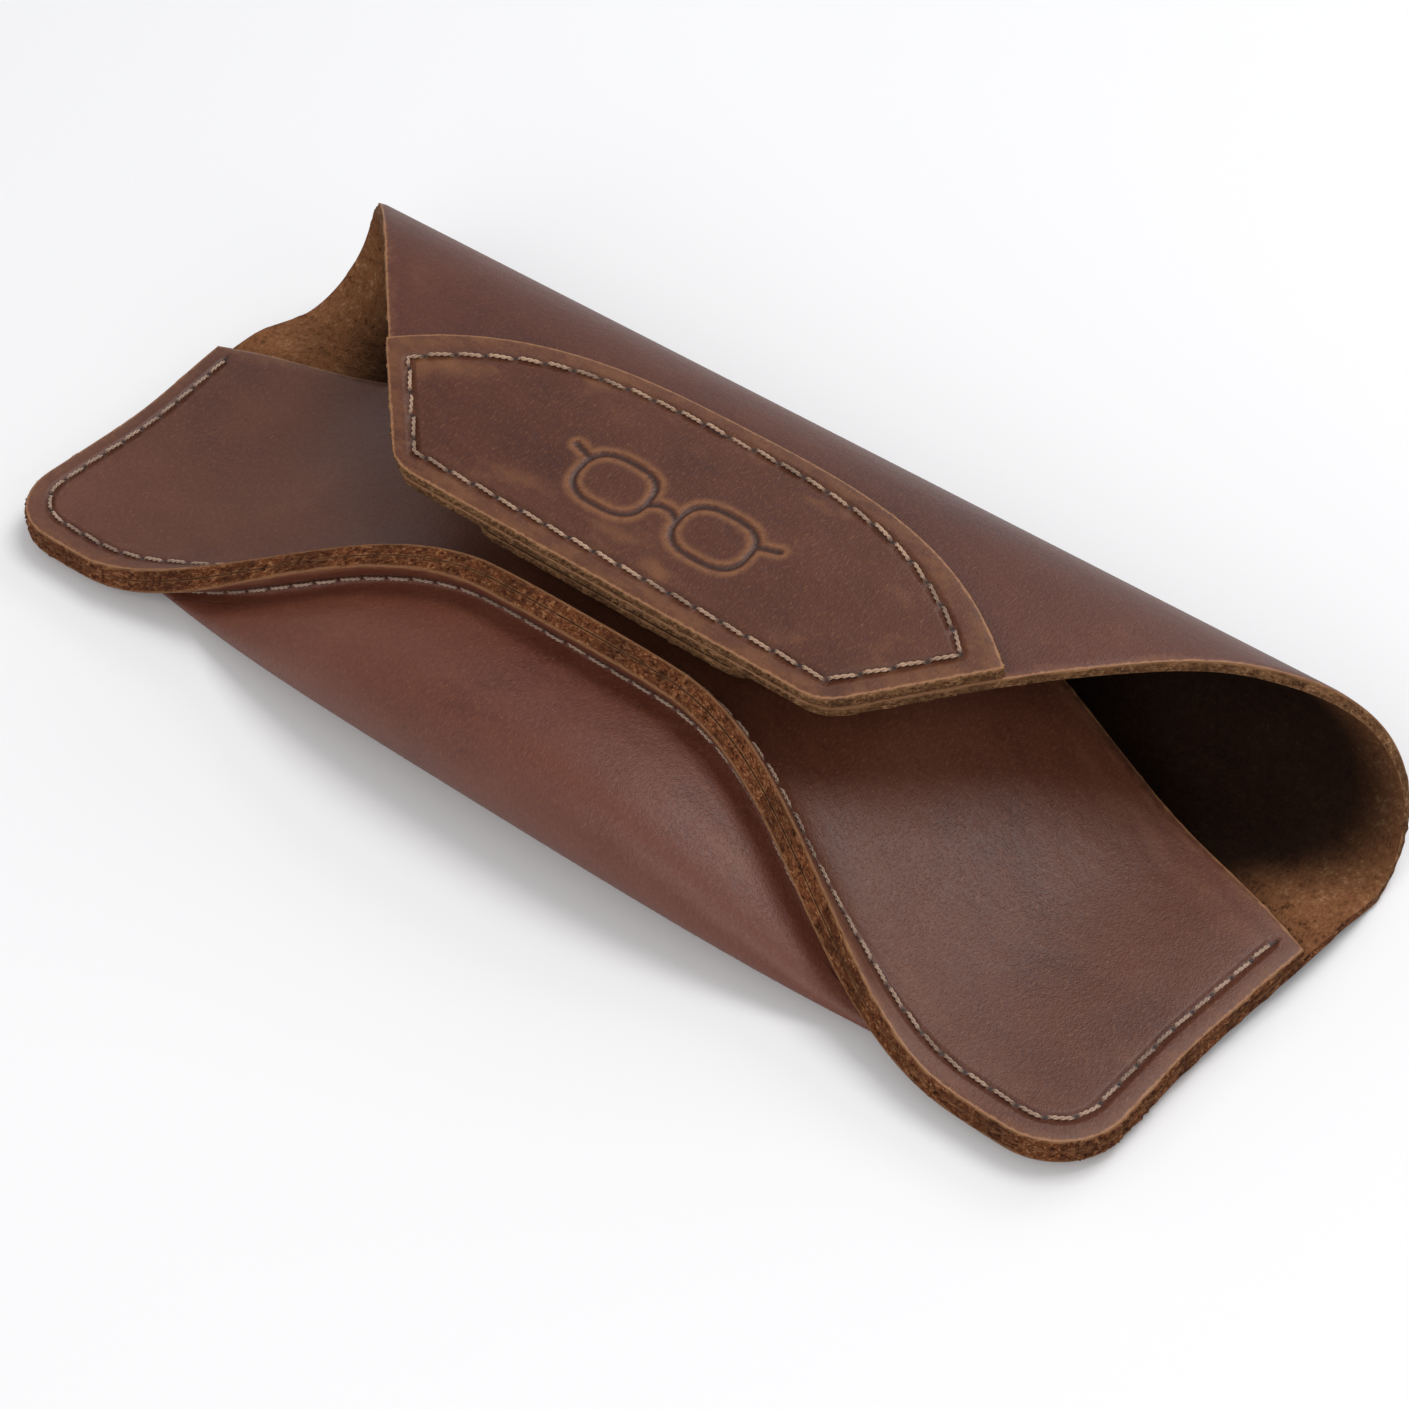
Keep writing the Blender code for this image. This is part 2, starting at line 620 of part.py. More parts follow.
def main():
    for old in list(bpy.data.objects):
        bpy.data.objects.remove(old, do_unlink=True)

    outer = material("shell_leather", (0.105, 0.040, 0.026), 0.45)
    front = material("panel_leather", (0.085, 0.036, 0.022), 0.50)
    strap = material("flap_leather", (0.095, 0.036, 0.024), 0.45)
    badge = material("patch_leather", (0.125, 0.052, 0.026), 0.55)
    lining = material("backing_leather", (0.26, 0.13, 0.06), 0.85)
    cover = material("cover_leather", (0.20, 0.10, 0.05), 0.80)
    cotton = material("seam_thread", (0.48, 0.33, 0.20), 0.70)
    silk = material("patch_thread", (0.50, 0.34, 0.20), 0.70)
    steel = material("flap_magnet_plate", (0.62, 0.62, 0.64), 0.30, 1.0)
    nickel = material("panel_magnet_plate", (0.60, 0.60, 0.62), 0.32, 1.0)

    hinge = bpy.data.objects.new("flap_hinge", None)
    hinge.location = roll_point(0, HINGE_AT, 0) * MM
    bpy.context.collection.objects.link(hinge)
    bpy.context.view_layer.update()

    build_shell(outer)
    build_panel(front)
    build_flap(strap, hinge)
    build_patch(badge, hinge)
    build_backing(lining, hinge)
    build_seam_threads(cotton)
    build_patch_threads(silk, hinge)
    disc("flap_magnet", flap_frame(-LEATHER / 2), MAGNET_RADIUS, MAGNET_THICKNESS,
         steel, hinge)
    disc("panel_magnet", panel_frame(-LEATHER - 2 * GAP - MAGNET_THICKNESS / 2),
         MAGNET_RADIUS, MAGNET_THICKNESS, nickel)
    build_magnet_cover(cover)
    build_cover_thread(cotton)


main()
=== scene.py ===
"""Looks of the leather eyeglasses case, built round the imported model.

Lengths are in millimetres until a mesh is made; +X runs along the case, +Y to the
folded back, +Z up.
"""

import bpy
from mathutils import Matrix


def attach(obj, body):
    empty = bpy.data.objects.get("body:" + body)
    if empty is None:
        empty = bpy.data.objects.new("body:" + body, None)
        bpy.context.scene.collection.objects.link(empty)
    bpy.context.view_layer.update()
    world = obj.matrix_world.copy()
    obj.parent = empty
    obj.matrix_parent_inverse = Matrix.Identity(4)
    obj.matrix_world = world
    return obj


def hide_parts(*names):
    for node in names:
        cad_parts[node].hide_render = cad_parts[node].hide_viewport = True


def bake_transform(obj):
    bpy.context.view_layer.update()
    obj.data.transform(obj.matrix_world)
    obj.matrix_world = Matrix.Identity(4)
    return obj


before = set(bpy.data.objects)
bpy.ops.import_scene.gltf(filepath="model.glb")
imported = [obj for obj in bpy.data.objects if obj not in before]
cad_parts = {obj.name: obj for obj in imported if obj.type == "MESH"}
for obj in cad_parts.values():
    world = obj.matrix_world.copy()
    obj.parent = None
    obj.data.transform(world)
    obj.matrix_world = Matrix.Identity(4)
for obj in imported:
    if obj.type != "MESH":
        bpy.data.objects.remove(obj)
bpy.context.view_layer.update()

import math

import bmesh
import bpy
import numpy as np
from mathutils import Vector
from mathutils.kdtree import KDTree

MM = 0.001

# --- sizes shared with the CAD ----------------------------------------------------
LEATHER, GAP = 1.7, 0.3
SEAM_INSET, PATCH_INSET = 3.0, 2.7
WING_CORNER, WING_FRONT, FLAT_START = 9.0, -34.3, -6.0
WING_LIFT, MOUTH_LIFT = 1.2, 0.8
EDGE_Y, EDGE_Z, EDGE_LEAN = -16.7, 20.5, 62.0
FIN_RUNS = (1.6, 3.2, 4.8)
BULGE_Y, BULGE_Z = -37.2, 18.0
PANEL_BACK, PANEL_ARC, PANEL_TOP = 24.0, 225.0, 20.5
ROLL_START, ROLL_LOW_RADIUS, ROLL_TOP_Y = 23.0, 10.5, 14.0
CASE_HEIGHT, FLAP_SLOPE, FLAP_BEND, FLAP_END_Y = 28.4, 15.0, 60.0, -12.4
TAPER_START, TAPER_RADIUS, FLAP_CORNER = 19.0, 55.6, 7.0
PATCH_LENGTH, PATCH_RISE = 14.6, 13.0
BACKING_HALF_WIDTH, BACKING_LENGTH, BACKING_CORNER = 23.0, 22.0, 5.0
MAGNET_RADIUS, MAGNET_THICKNESS, MAGNET_INSET = 6.0, 1.2, 13.5
COVER_RADIUS, COVER_WALL, COVER_STITCH_RADIUS = 9.5, 1.0, 8.4
HALF, WING_HALF = 86.5, 84.3
SHEETS = 2 * LEATHER + GAP

# --- sizes of the visible pieces ----------------------------------------------------
JOIN_AT = 28.0              # on the roll section, where the outer sheet's two pieces meet
SEAM_PITCH, PATCH_PITCH = 3.4, 3.8
FAR_OFF = 99.0              # seam distance of a vertex that no seam reaches
CONTROL_COUNT = 8           # control points in a section of the sewn front


# --- helpers ----------------------------------------------------------------------
def smooth(t):
    t = np.clip(t, 0.0, 1.0)
    return t * t * (3 - 2 * t)


def mix(a, b, t):
    return a + (b - a) * t


def unit(v):
    return v / np.maximum(np.linalg.norm(v, axis=-1, keepdims=True), 1e-9)


def lengths_along(line):
    """Distance from the start of a polyline to each of its points."""
    return np.concatenate([[0], np.cumsum(np.linalg.norm(np.diff(line, axis=0), axis=1))])


def read_line(at, lengths, line):
    """Points, or normals, of a polyline at distances along it."""
    return np.stack([np.interp(at, lengths, column) for column in line.T], -1)


def spline_weights(t, count):
    """Weights of a clamped uniform cubic B-spline's control points at each t."""
    spans = count - 3
    knots = [0.0] * 3 + [i / spans for i in range(spans + 1)] + [1.0] * 3
    rows = []
    for value in np.clip(t, 0.0, 1.0 - 1e-9):
        k = 3 + int(value * spans)
        work = [np.eye(count)[k - 3 + i] for i in range(4)]
        for level in range(1, 4):
            for i in range(3, level - 1, -1):
                low, high = knots[k - 3 + i], knots[k + 1 + i - level]
                share = (value - low) / (high - low)
                work[i] = work[i - 1] * (1 - share) + work[i] * share
        rows.append(work[3])
    return np.array(rows)


def lift(x, y):
    sideways = smooth((np.abs(x) - 60) / 22)
    height = WING_LIFT + MOUTH_LIFT * smooth((y + 10) / 18)
    return sideways * height * smooth((24 - y) / 11)


def place(x, yz):
    """World points of section points, wings lifted."""
    x = np.broadcast_to(x, yz.shape[:-1])
    return np.stack([x, yz[..., 0], yz[..., 1] + lift(x, yz[..., 0])], -1)


# --- sections of the sewn front ---------------------------------------------------
def fin(x):
    x = np.abs(x)
    forward = smooth((x - 14) / 54)
    height = np.exp(-(x / 50) ** 3.2)
    edge = np.stack([mix(EDGE_Y, WING_FRONT, forward), mix(SHEETS / 2, EDGE_Z, height)], -1)
    turn = np.radians(180 - EDGE_LEAN * (1 - smooth((x - 36) / 32)))
    out = np.stack([np.cos(turn), np.sin(turn)], -1)
    return edge, out, np.stack([out[..., 1], -out[..., 0]], -1)


def shell_control(x):
    edge, out, side = fin(x)
    bulge = np.exp(-(np.abs(x) / 44) ** 3)
    reach = bulge ** 0.25
    tip = edge - side * (SHEETS / 2)
    control = [tip] + [tip - out * run for run in FIN_RUNS]
    zero = np.zeros_like(bulge)
    control += [np.stack([mix(-24, BULGE_Y + 1, reach), BULGE_Z * bulge], -1),
                np.stack([mix(-18, BULGE_Y, reach), zero], -1),
                np.stack([mix(-11, -20, reach), zero], -1),
                np.stack([zero + FLAT_START, zero], -1)]
    return np.stack(control, -2)


def panel_back(x):
    return PANEL_BACK - PANEL_ARC + np.sqrt(PANEL_ARC ** 2 - x * x)


def panel_control(x):
    edge, out, side = fin(x)
    rise = np.exp(-(np.abs(x) / 51.6) ** 3.3)
    tip = edge + side * (SHEETS / 2)
    root = tip - out * FIN_RUNS[-1]
    fall = math.tan(math.radians(FLAP_SLOPE))
    control = [tip] + [tip - out * run for run in FIN_RUNS]
    for level, raised in ((root[..., 0] + 8, -4), (0, 5), (4, 14)):
        top = PANEL_TOP - (14 - raised) * fall
        control.append(np.stack([mix(level, raised, rise), mix(SHEETS, top, rise)], -1))
    control.append(np.stack([panel_back(x), mix(SHEETS, PANEL_TOP, rise) - 0.8 * rise], -1))
    return np.stack(control, -2)


def section_points(control, weights, slopes):
    """Points and left normals for control (..., 8, 2) and weights (..., 8)."""
    point = np.einsum("...k,...kc->...c", weights, control)
    along = unit(np.einsum("...k,...kc->...c", slopes, control))
    return point, np.stack([-along[..., 1], along[..., 0]], -1)


def wing_edge(y):
    half = mix(WING_HALF, HALF, smooth((y + 15) / 30))
    behind = np.clip(y - WING_FRONT, 0, WING_CORNER)
    return half - WING_CORNER + np.sqrt(WING_CORNER ** 2 - (WING_CORNER - behind) ** 2)


# --- section of the bottom, roll and flap -------------------------------------------
def roll_section():
    points = [(FLAT_START, 0.0), (ROLL_START, 0.0)]
    for turn in np.radians(np.arange(1, 49) * 90 / 48):
        points.append((ROLL_START + ROLL_LOW_RADIUS * math.sin(turn),
                       ROLL_LOW_RADIUS * (1 - math.cos(turn))))
    width = ROLL_START + ROLL_LOW_RADIUS - ROLL_TOP_Y
    height = CASE_HEIGHT - ROLL_LOW_RADIUS
    for turn in np.radians(np.arange(1, 73) * 90 / 72):
        points.append((ROLL_TOP_Y + width * math.cos(turn),
                       ROLL_LOW_RADIUS + height * math.sin(turn)))
    for turn in np.radians(np.arange(1, 17) * FLAP_SLOPE / 16):
        points.append((ROLL_TOP_Y - FLAP_BEND * math.sin(turn),
                       CASE_HEIGHT - FLAP_BEND * (1 - math.cos(turn))))
    y, z = points[-1]
    fall = (y - FLAP_END_Y) * math.tan(math.radians(FLAP_SLOPE))
    points.append((FLAP_END_Y, z - fall))
    return np.array(points)


ROLL = roll_section()
ROLL_AT = lengths_along(ROLL)
FLAP_END = ROLL_AT[-1]
TAPER_AT = TAPER_START - FLAT_START
STRAIGHT_AT = TAPER_AT + TAPER_RADIUS * math.sin(math.radians(45))
STRAIGHT_HALF = HALF - TAPER_RADIUS * (1 - math.cos(math.radians(45)))
PATCH_AT = FLAP_END - PATCH_LENGTH


def roll_at(distance):
    """Point and outward normal (away from the glasses) along the roll section."""
    distance = np.asarray(distance, float)
    point = read_line(distance, ROLL_AT, ROLL)
    nearby = 0.6
    along = unit(read_line(distance + nearby, ROLL_AT, ROLL)
                 - read_line(distance - nearby, ROLL_AT, ROLL))
    return point, np.stack([along[..., 1], -along[..., 0]], -1)


def roll_point(x, distance, outward):
    point, normal = roll_at(distance)
    return place(x, point + normal * np.asarray(outward, float)[..., None])


def sheet_edge(distance):
    distance = np.asarray(distance, float)
    run = np.clip(distance - TAPER_AT, 0, STRAIGHT_AT - TAPER_AT)
    half = HALF - TAPER_RADIUS + np.sqrt(TAPER_RADIUS ** 2 - run * run)
    half -= np.maximum(distance - STRAIGHT_AT, 0)
    centre = FLAP_END - FLAP_CORNER
    end_half = STRAIGHT_HALF - (FLAP_END - STRAIGHT_AT)
    centre_x = end_half - FLAP_CORNER * math.tan(math.radians(22.5))
    corner = centre_x + np.sqrt(np.maximum(FLAP_CORNER ** 2 - (distance - centre) ** 2, 0))
    half = np.where(distance > centre + FLAP_CORNER * math.cos(math.radians(45)), corner, half)
    return np.where(distance <= TAPER_AT, wing_edge(FLAT_START + distance), half)


# --- mesh making ------------------------------------------------------------------
def mesh_object(name, points, faces, looks, face_look=None):
    mesh = bpy.data.meshes.new(name)
    mesh.from_pydata((points * MM).tolist(), [], faces)
    for look in looks:
        mesh.materials.append(look)
    if face_look is not None:
        mesh.polygons.foreach_set("material_index", np.asarray(face_look, np.int32))
    mesh.shade_smooth()
    made = bpy.data.objects.new(name, mesh)
    bpy.context.scene.collection.objects.link(made)
    return made


def add_value(obj, name, values):
    kind = "FLOAT" if values.ndim == 1 else "FLOAT_VECTOR"
    attribute = obj.data.attributes.new(name, kind, "POINT")
    key = "value" if values.ndim == 1 else "vector"
    attribute.data.foreach_set(key, values.astype(np.float32).ravel())


def line_coordinates(points, line, normals=None):
    """Distance along a polyline, distance from it, signed where normals are given."""
    tree = KDTree(len(line))
    for i, p in enumerate(line):
        tree.insert(p, i)
    tree.balance()
    nearest = np.array([tree.find(p)[1] for p in points])
    lengths = lengths_along(line)
    best = np.full(len(points), np.inf)
    along, signed = np.zeros(len(points)), np.zeros(len(points))
    for shift in (-1, 0):
        a = np.clip(nearest + shift, 0, len(line) - 2)
        start, span = line[a], line[a + 1] - line[a]
        share = np.clip(((points - start) * span).sum(1) / (span * span).sum(1), 0, 1)
        off = points - start - span * share[:, None]
        far = np.linalg.norm(off, axis=1)
        closer = far < best
        best[closer] = far[closer]
        along[closer] = (lengths[a] + share * np.linalg.norm(span, axis=1))[closer]
        if normals is not None:
            side = (np.cross(unit(span), normals[a]) * off).sum(1)
            signed[closer] = (np.sign(side) * far)[closer]
    return along, (signed if normals is not None else best)


def rim_loop(rows, columns):
    """Rows and columns of a grid's vertices, once round its rim."""
    rim = [(0, j) for j in range(columns)]
    rim += [(i, columns - 1) for i in range(1, rows)]
    rim += [(rows - 1, j) for j in range(columns - 2, -1, -1)]
    rim += [(i, 0) for i in range(rows - 2, 0, -1)]
    return np.array(rim).T


def leather(name, grain, flesh, flat, looks, plain_rows=(), seam=None, press=None,
            pitch=SEAM_PITCH):
    """Closed sheet between two grids, with a soft uneven cut edge all round.

    grain and flesh are (rows, columns, 3); flat is (rows, columns, 2), the place on
    the flat sheet.  plain_rows names the first or last row where the sheet runs on
    into another piece.  seam is (line, normals) of a stitch line on the grain side;
    press is a pressed-in depth per grain vertex.
    """
    rows, columns = grain.shape[:2]
    inner = unit(flesh - grain)
    i, j = rim_loop(rows, columns)
    back_i = np.clip(i, 1, rows - 2)
    back_j = np.clip(j, 1, columns - 2)
    cut = np.ones(len(i), bool)
    for row in plain_rows:
        cut &= i != row % rows
    edge = grain[i, j]
    tangent = unit(np.roll(edge, -1, 0) - np.roll(edge, 1, 0))
    away = edge - grain[back_i, back_j]
    out = np.cross(tangent, inner[i, j])
    out = unit(out * np.sign((out * away).sum(1, keepdims=True)))
    line = edge[cut]
    flat_points = grain.reshape(-1, 3)
    breaks = np.linalg.norm(np.diff(np.vstack([line, line[:1]]), axis=0), axis=1) > 8
    if breaks.any():
        line = np.roll(line, -int(np.flatnonzero(breaks)[0]) - 1, 0)
    else:
        line = np.vstack([line, line[:1]])
    _, to_rim = line_coordinates(flat_points, line)
    to_rim = to_rim.reshape(rows, columns)
    noise = np.random.default_rng(len(name) * 7 + rows)
    worn = 0.16 * np.exp(-(to_rim / 0.5) ** 2)
    low = worn + (press if press is not None else 0)
    along = across = far = np.full((rows, columns), FAR_OFF)
    if seam is not None:
        along, across = line_coordinates(flat_points, *seam)
        far = np.abs(across).reshape(rows, columns)
        total = np.linalg.norm(np.diff(seam[0], axis=0), axis=1).sum()
        along = along.reshape(rows, columns) * round(total / pitch) / total
        across = across.reshape(rows, columns)
        low = low + 0.10 * np.exp(-(across / 0.6) ** 2)
    top = grain + inner * low[..., None]
    under = flesh - inner * (0.10 * np.exp(-(to_rim / 0.5) ** 2))[..., None]
    rings = (0.1, 0.26, 0.42, 0.58, 0.74, 0.9)
    points = [top.reshape(-1, 3), under.reshape(-1, 3)]
    place_flat = [flat.reshape(-1, 2), flat.reshape(-1, 2)]
    depth = [np.zeros(rows * columns), np.ones(rows * columns)]
    wander = noise.normal(0, 1, len(i))
    wander = (wander + np.roll(wander, 1) + np.roll(wander, 2)) * 0.022
    for t in rings:
        rough = noise.normal(0, 1, len(i))
        rough = (rough + 0.5 * np.roll(rough, 1)) * 0.085 + wander
        push = (0.12 * math.sin(math.pi * t) + rough) * cut
        points.append(mix(top[i, j], under[i, j], t) + out * push[:, None])
        place_flat.append(flat[i, j])
        depth.append(np.full(len(i), t))
    points = np.vstack(points)
    grid = np.arange(rows * columns).reshape(rows, columns)
    a, b, c, d = (grid[:-1, :-1], grid[:-1, 1:], grid[1:, 1:], grid[1:, :-1])
    upper = np.stack([a, b, c, d], -1).reshape(-1, 4)
    lower = np.stack([a, d, c, b], -1).reshape(-1, 4) + rows * columns
    loops = [grid[i, j]]
    loops += [2 * rows * columns + n * len(i) + np.arange(len(i)) for n in range(len(rings))]
    loops.append(grid[i, j] + rows * columns)
    strips = [np.stack([np.roll(one, -1), one, two, np.roll(two, -1)], -1)
              for one, two in zip(loops, loops[1:])]
    faces = np.vstack([upper, lower] + strips)
    tri = points[faces[:, [0, 1, 2]]]
    volume = np.einsum("ij,ij->i", tri[:, 0], np.cross(tri[:, 1], tri[:, 2])).sum()
    tri = points[faces[:, [0, 2, 3]]]
    volume += np.einsum("ij,ij->i", tri[:, 0], np.cross(tri[:, 1], tri[:, 2])).sum()
    if volume < 0:
        faces = faces[:, ::-1]
    look = np.repeat([0, 1, 2], [len(upper), len(lower), len(faces) - 2 * len(upper)])
    made = mesh_object(name, points, faces.tolist(), looks, look)
    if plain_rows:
        ends = np.zeros(len(points), bool)
        for row in plain_rows:
            ends[grid[row]] = True
            ends[grid[row] + rows * columns] = True
        pairs = np.zeros(2 * len(made.data.edges), np.int32)
        made.data.edges.foreach_get("vertices", pairs)
        sharp = made.data.attributes.new("sharp_edge", "BOOLEAN", "EDGE")
        sharp.data.foreach_set("value", ends[pairs.reshape(-1, 2)].all(1))
    sheet = np.column_stack([np.vstack(place_flat), np.concatenate(depth) * LEATHER])
    add_value(made, "sheet", sheet)
    zeros = np.zeros(len(i) * len(rings))
    add_value(made, "rim", np.concatenate([to_rim.ravel(), to_rim.ravel(), zeros]))
    add_value(made, "depth", np.concatenate(depth))
    add_value(made, "seam_along", np.concatenate([along.ravel(), along.ravel(), zeros]))
    add_value(made, "seam_across", np.concatenate([across.ravel(), across.ravel(),
                                                   zeros + FAR_OFF]))
    add_value(made, "seam_far", np.concatenate([far.ravel(), far.ravel(), zeros + FAR_OFF]))
    add_value(made, "press", np.concatenate([
        (press if press is not None else np.zeros((rows, columns))).ravel(),
        np.zeros(rows * columns), zeros]))
    return made


def columns_of(count, half):
    """Even steps from -1 to 1 with one more close to each end."""
    even = np.linspace(-1, 1, count + 1)
    return np.concatenate([[-1, -1 + 0.25 / half], even[1:-1], [1 - 0.25 / half, 1]])


def front_sheet(control_at, sign, steps, columns):
    """Grain, flesh and flat grids of a sheet that starts at the sewn edge."""
    count = CONTROL_COUNT
    ramp = np.linspace(0, 1, steps + 1) ** 1.15
    ramp = np.insert(ramp, 1, ramp[1] * 0.4)
    weights = spline_weights(ramp, count)
    nearby = 1e-4
    slopes = (spline_weights(np.minimum(ramp + nearby, 1), count)
              - spline_weights(np.maximum(ramp - nearby, 0), count))
    wing = np.einsum("rk,kc->rc", weights, control_at(np.array(WING_HALF)))
    half = wing_edge(wing[:, 0])
    x = half[:, None] * columns[None, :]
    point, normal = section_points(control_at(x), weights[:, None, :], slopes[:, None, :])
    distance = np.concatenate([np.zeros((1, x.shape[1])),
                               np.cumsum(np.linalg.norm(np.diff(point, axis=0), axis=-1), 0)])
    thick = LEATHER + 0.19 * (1 - smooth((distance - 4.5) / 4))
    grain = place(x, point)
    flesh = place(x, point + normal * (sign * thick)[..., None])
    return grain, flesh, np.stack([x, distance], -1)


# --- stitches ---------------------------------------------------------------------
def resample(line, normals, step):
    lengths = lengths_along(line)
    count = max(2, int(round(lengths[-1] / step)))
    at = np.linspace(0, lengths[-1], count + 1)
    return read_line(at, lengths, line), unit(read_line(at, lengths, normals))


def stitch_run(name, line, normals, look, body, replaced, width=0.42,
               pitch=SEAM_PITCH, sink=0.30, height=0.22, lean=0.10, uneven=0.04):
    """Row of separate two-ply stitches that dive into the leather at both ends."""
    lengths = lengths_along(line)
    total = lengths[-1]
    count = int(round(total / pitch))
    pitch = total / count
    steps, sides = 15, 6
    t = np.linspace(0, 1, steps)
    draw = np.random.default_rng(count)
    shift = draw.normal(0, 0.05, (count, 2))
    at = (np.arange(count)[:, None] + 0.03 + 0.94 * t[None, :]) * pitch
    base = read_line(at, lengths, line)
    up = unit(read_line(at, lengths, normals))
    along = unit(np.gradient(base, axis=1))
    side = unit(np.cross(along, up))
    arch = np.clip(1 - np.abs(2 * t - 1) ** 7, 0, 1)
    high = mix(-sink, height, arch) + draw.normal(0, uneven, (count, 1))
    slant = (t - 0.5) * 2 * lean
    centre = base + up * high[..., None]
    aside = slant[None, :] + mix(shift[:, :1], shift[:, 1:], t[None, :])
    centre = centre + side * aside[..., None]
    ply = width * 0.5
    fat = ply * (0.55 + 0.45 * np.clip(arch * 1.6, 0, 1)) * 1.12
    meshes, faces = [], []
    ring = np.arange(sides) * 2 * math.pi / sides
    turn = t * 2 * math.pi * 2.1
    phase = draw.uniform(0, math.pi, (count, 1))
    for k in range(2):
        angle = turn[None, :] + phase + k * math.pi
        offset = (side * np.cos(angle)[..., None] + up * np.sin(angle)[..., None]) * ply * 0.92
        middle = centre + offset
        around = (side[:, :, None, :] * np.cos(ring)[None, None, :, None]
                  + up[:, :, None, :] * np.sin(ring)[None, None, :, None])
        meshes.append((middle[:, :, None, :] + around * fat[None, :, None, None]).reshape(-1, 3))
    tube = []
    for i in range(steps - 1):
        for j in range(sides):
            m = (j + 1) % sides
            tube.append((i * sides + j, i * sides + m, (i + 1) * sides + m, (i + 1) * sides + j))
    caps = [tuple(range(sides - 1, -1, -1)),
            tuple((steps - 1) * sides + j for j in range(sides))]
    size = steps * sides
    for n in range(2 * count):
        faces += [tuple(v + n * size for v in face) for face in tube + caps]
    points = np.vstack(meshes)
    made = mesh_object(name, points, faces, [look])
    spin = np.tile(np.repeat(t, sides), 2 * count)
    add_value(made, "strand", np.column_stack([
        np.tile(np.repeat(at, sides, axis=1).ravel(), 2), spin,
        np.tile(np.tile(ring, steps), 2 * count)]))
    flip_outward(made)
    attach(made, body)
    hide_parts(replaced)


def flip_outward(obj):
    bm = bmesh.new()
    bm.from_mesh(obj.data)
    bmesh.ops.recalc_face_normals(bm, faces=bm.faces)
    bm.to_mesh(obj.data)
    bm.free()


# --- node helper ------------------------------------------------------------------
class Look:
    """A Principled material whose nodes are added one call at a time."""

    def __init__(self, name, **uniform):
        self.material = bpy.data.materials.new(name)
        self.material.use_nodes = True
        self.tree = self.material.node_tree
        self.shader = self.tree.nodes["Principled BSDF"]
        for key, value in uniform.items():
            self.shader.inputs[key.replace("_", " ")].default_value = value

    def join(self, value, socket):
        if isinstance(value, bpy.types.NodeSocket):
            self.tree.links.new(value, socket)
        else:
            socket.default_value = value

    def add(self, kind, inputs=(), **settings):
        node = self.tree.nodes.new("ShaderNode" + kind)
        for key, value in settings.items():
            setattr(node, key, value)
        for key, value in dict(inputs).items():
            self.join(value, node.inputs[key])
        return node

    def value(self, name):
        return self.add("Attribute", attribute_name=name).outputs["Fac"]

    def vector(self, name):
        return self.add("Attribute", attribute_name=name).outputs["Vector"]

    def math(self, operation, a, b=0.0, c=0.0):
        return self.add("Math", {0: a, 1: b, 2: c}, operation=operation).outputs[0]

    def stretch(self, vector, scale, turn=(0, 0, 0)):
        return self.add("Mapping", {"Vector": vector, "Scale": scale,
                                    "Rotation": turn}).outputs[0]

    def noise(self, vector, scale, detail=3.0, roughness=0.55):
        return self.add("TexNoise", {"Vector": vector, "Scale": scale, "Detail": detail,
                                     "Roughness": roughness}).outputs["Fac"]

    def cells(self, vector, scale):
        return self.add("TexVoronoi", {"Vector": vector, "Scale": scale}).outputs["Distance"]

    def span(self, value, low, high, to_low=0.0, to_high=1.0):
        node = self.add("MapRange", {"Value": value, "From Min": low, "From Max": high,
                                     "To Min": to_low, "To Max": to_high},
                        interpolation_type="SMOOTHSTEP")
        return node.outputs["Result"]

    def blend(self, share, a, b):
        node = self.add("Mix", data_type="RGBA")
        for index, value in ((0, share), (6, a), (7, b)):
            self.join(value, node.inputs[index])
        return node.outputs[2]

    def bump(self, height, distance, strength=1.0, normal=None):
        inputs = {"Height": height, "Distance": distance, "Strength": strength}
        if normal is not None:
            inputs["Normal"] = normal
        return self.add("Bump", inputs).outputs["Normal"]

    def finish(self, colour, roughness, normal=None):
        self.join(colour, self.shader.inputs["Base Color"])
        self.join(roughness, self.shader.inputs["Roughness"])
        if normal is not None:
            self.join(normal, self.shader.inputs["Normal"])
        return self.material


def rgb(r, g, b):
    return (r, g, b, 1.0)


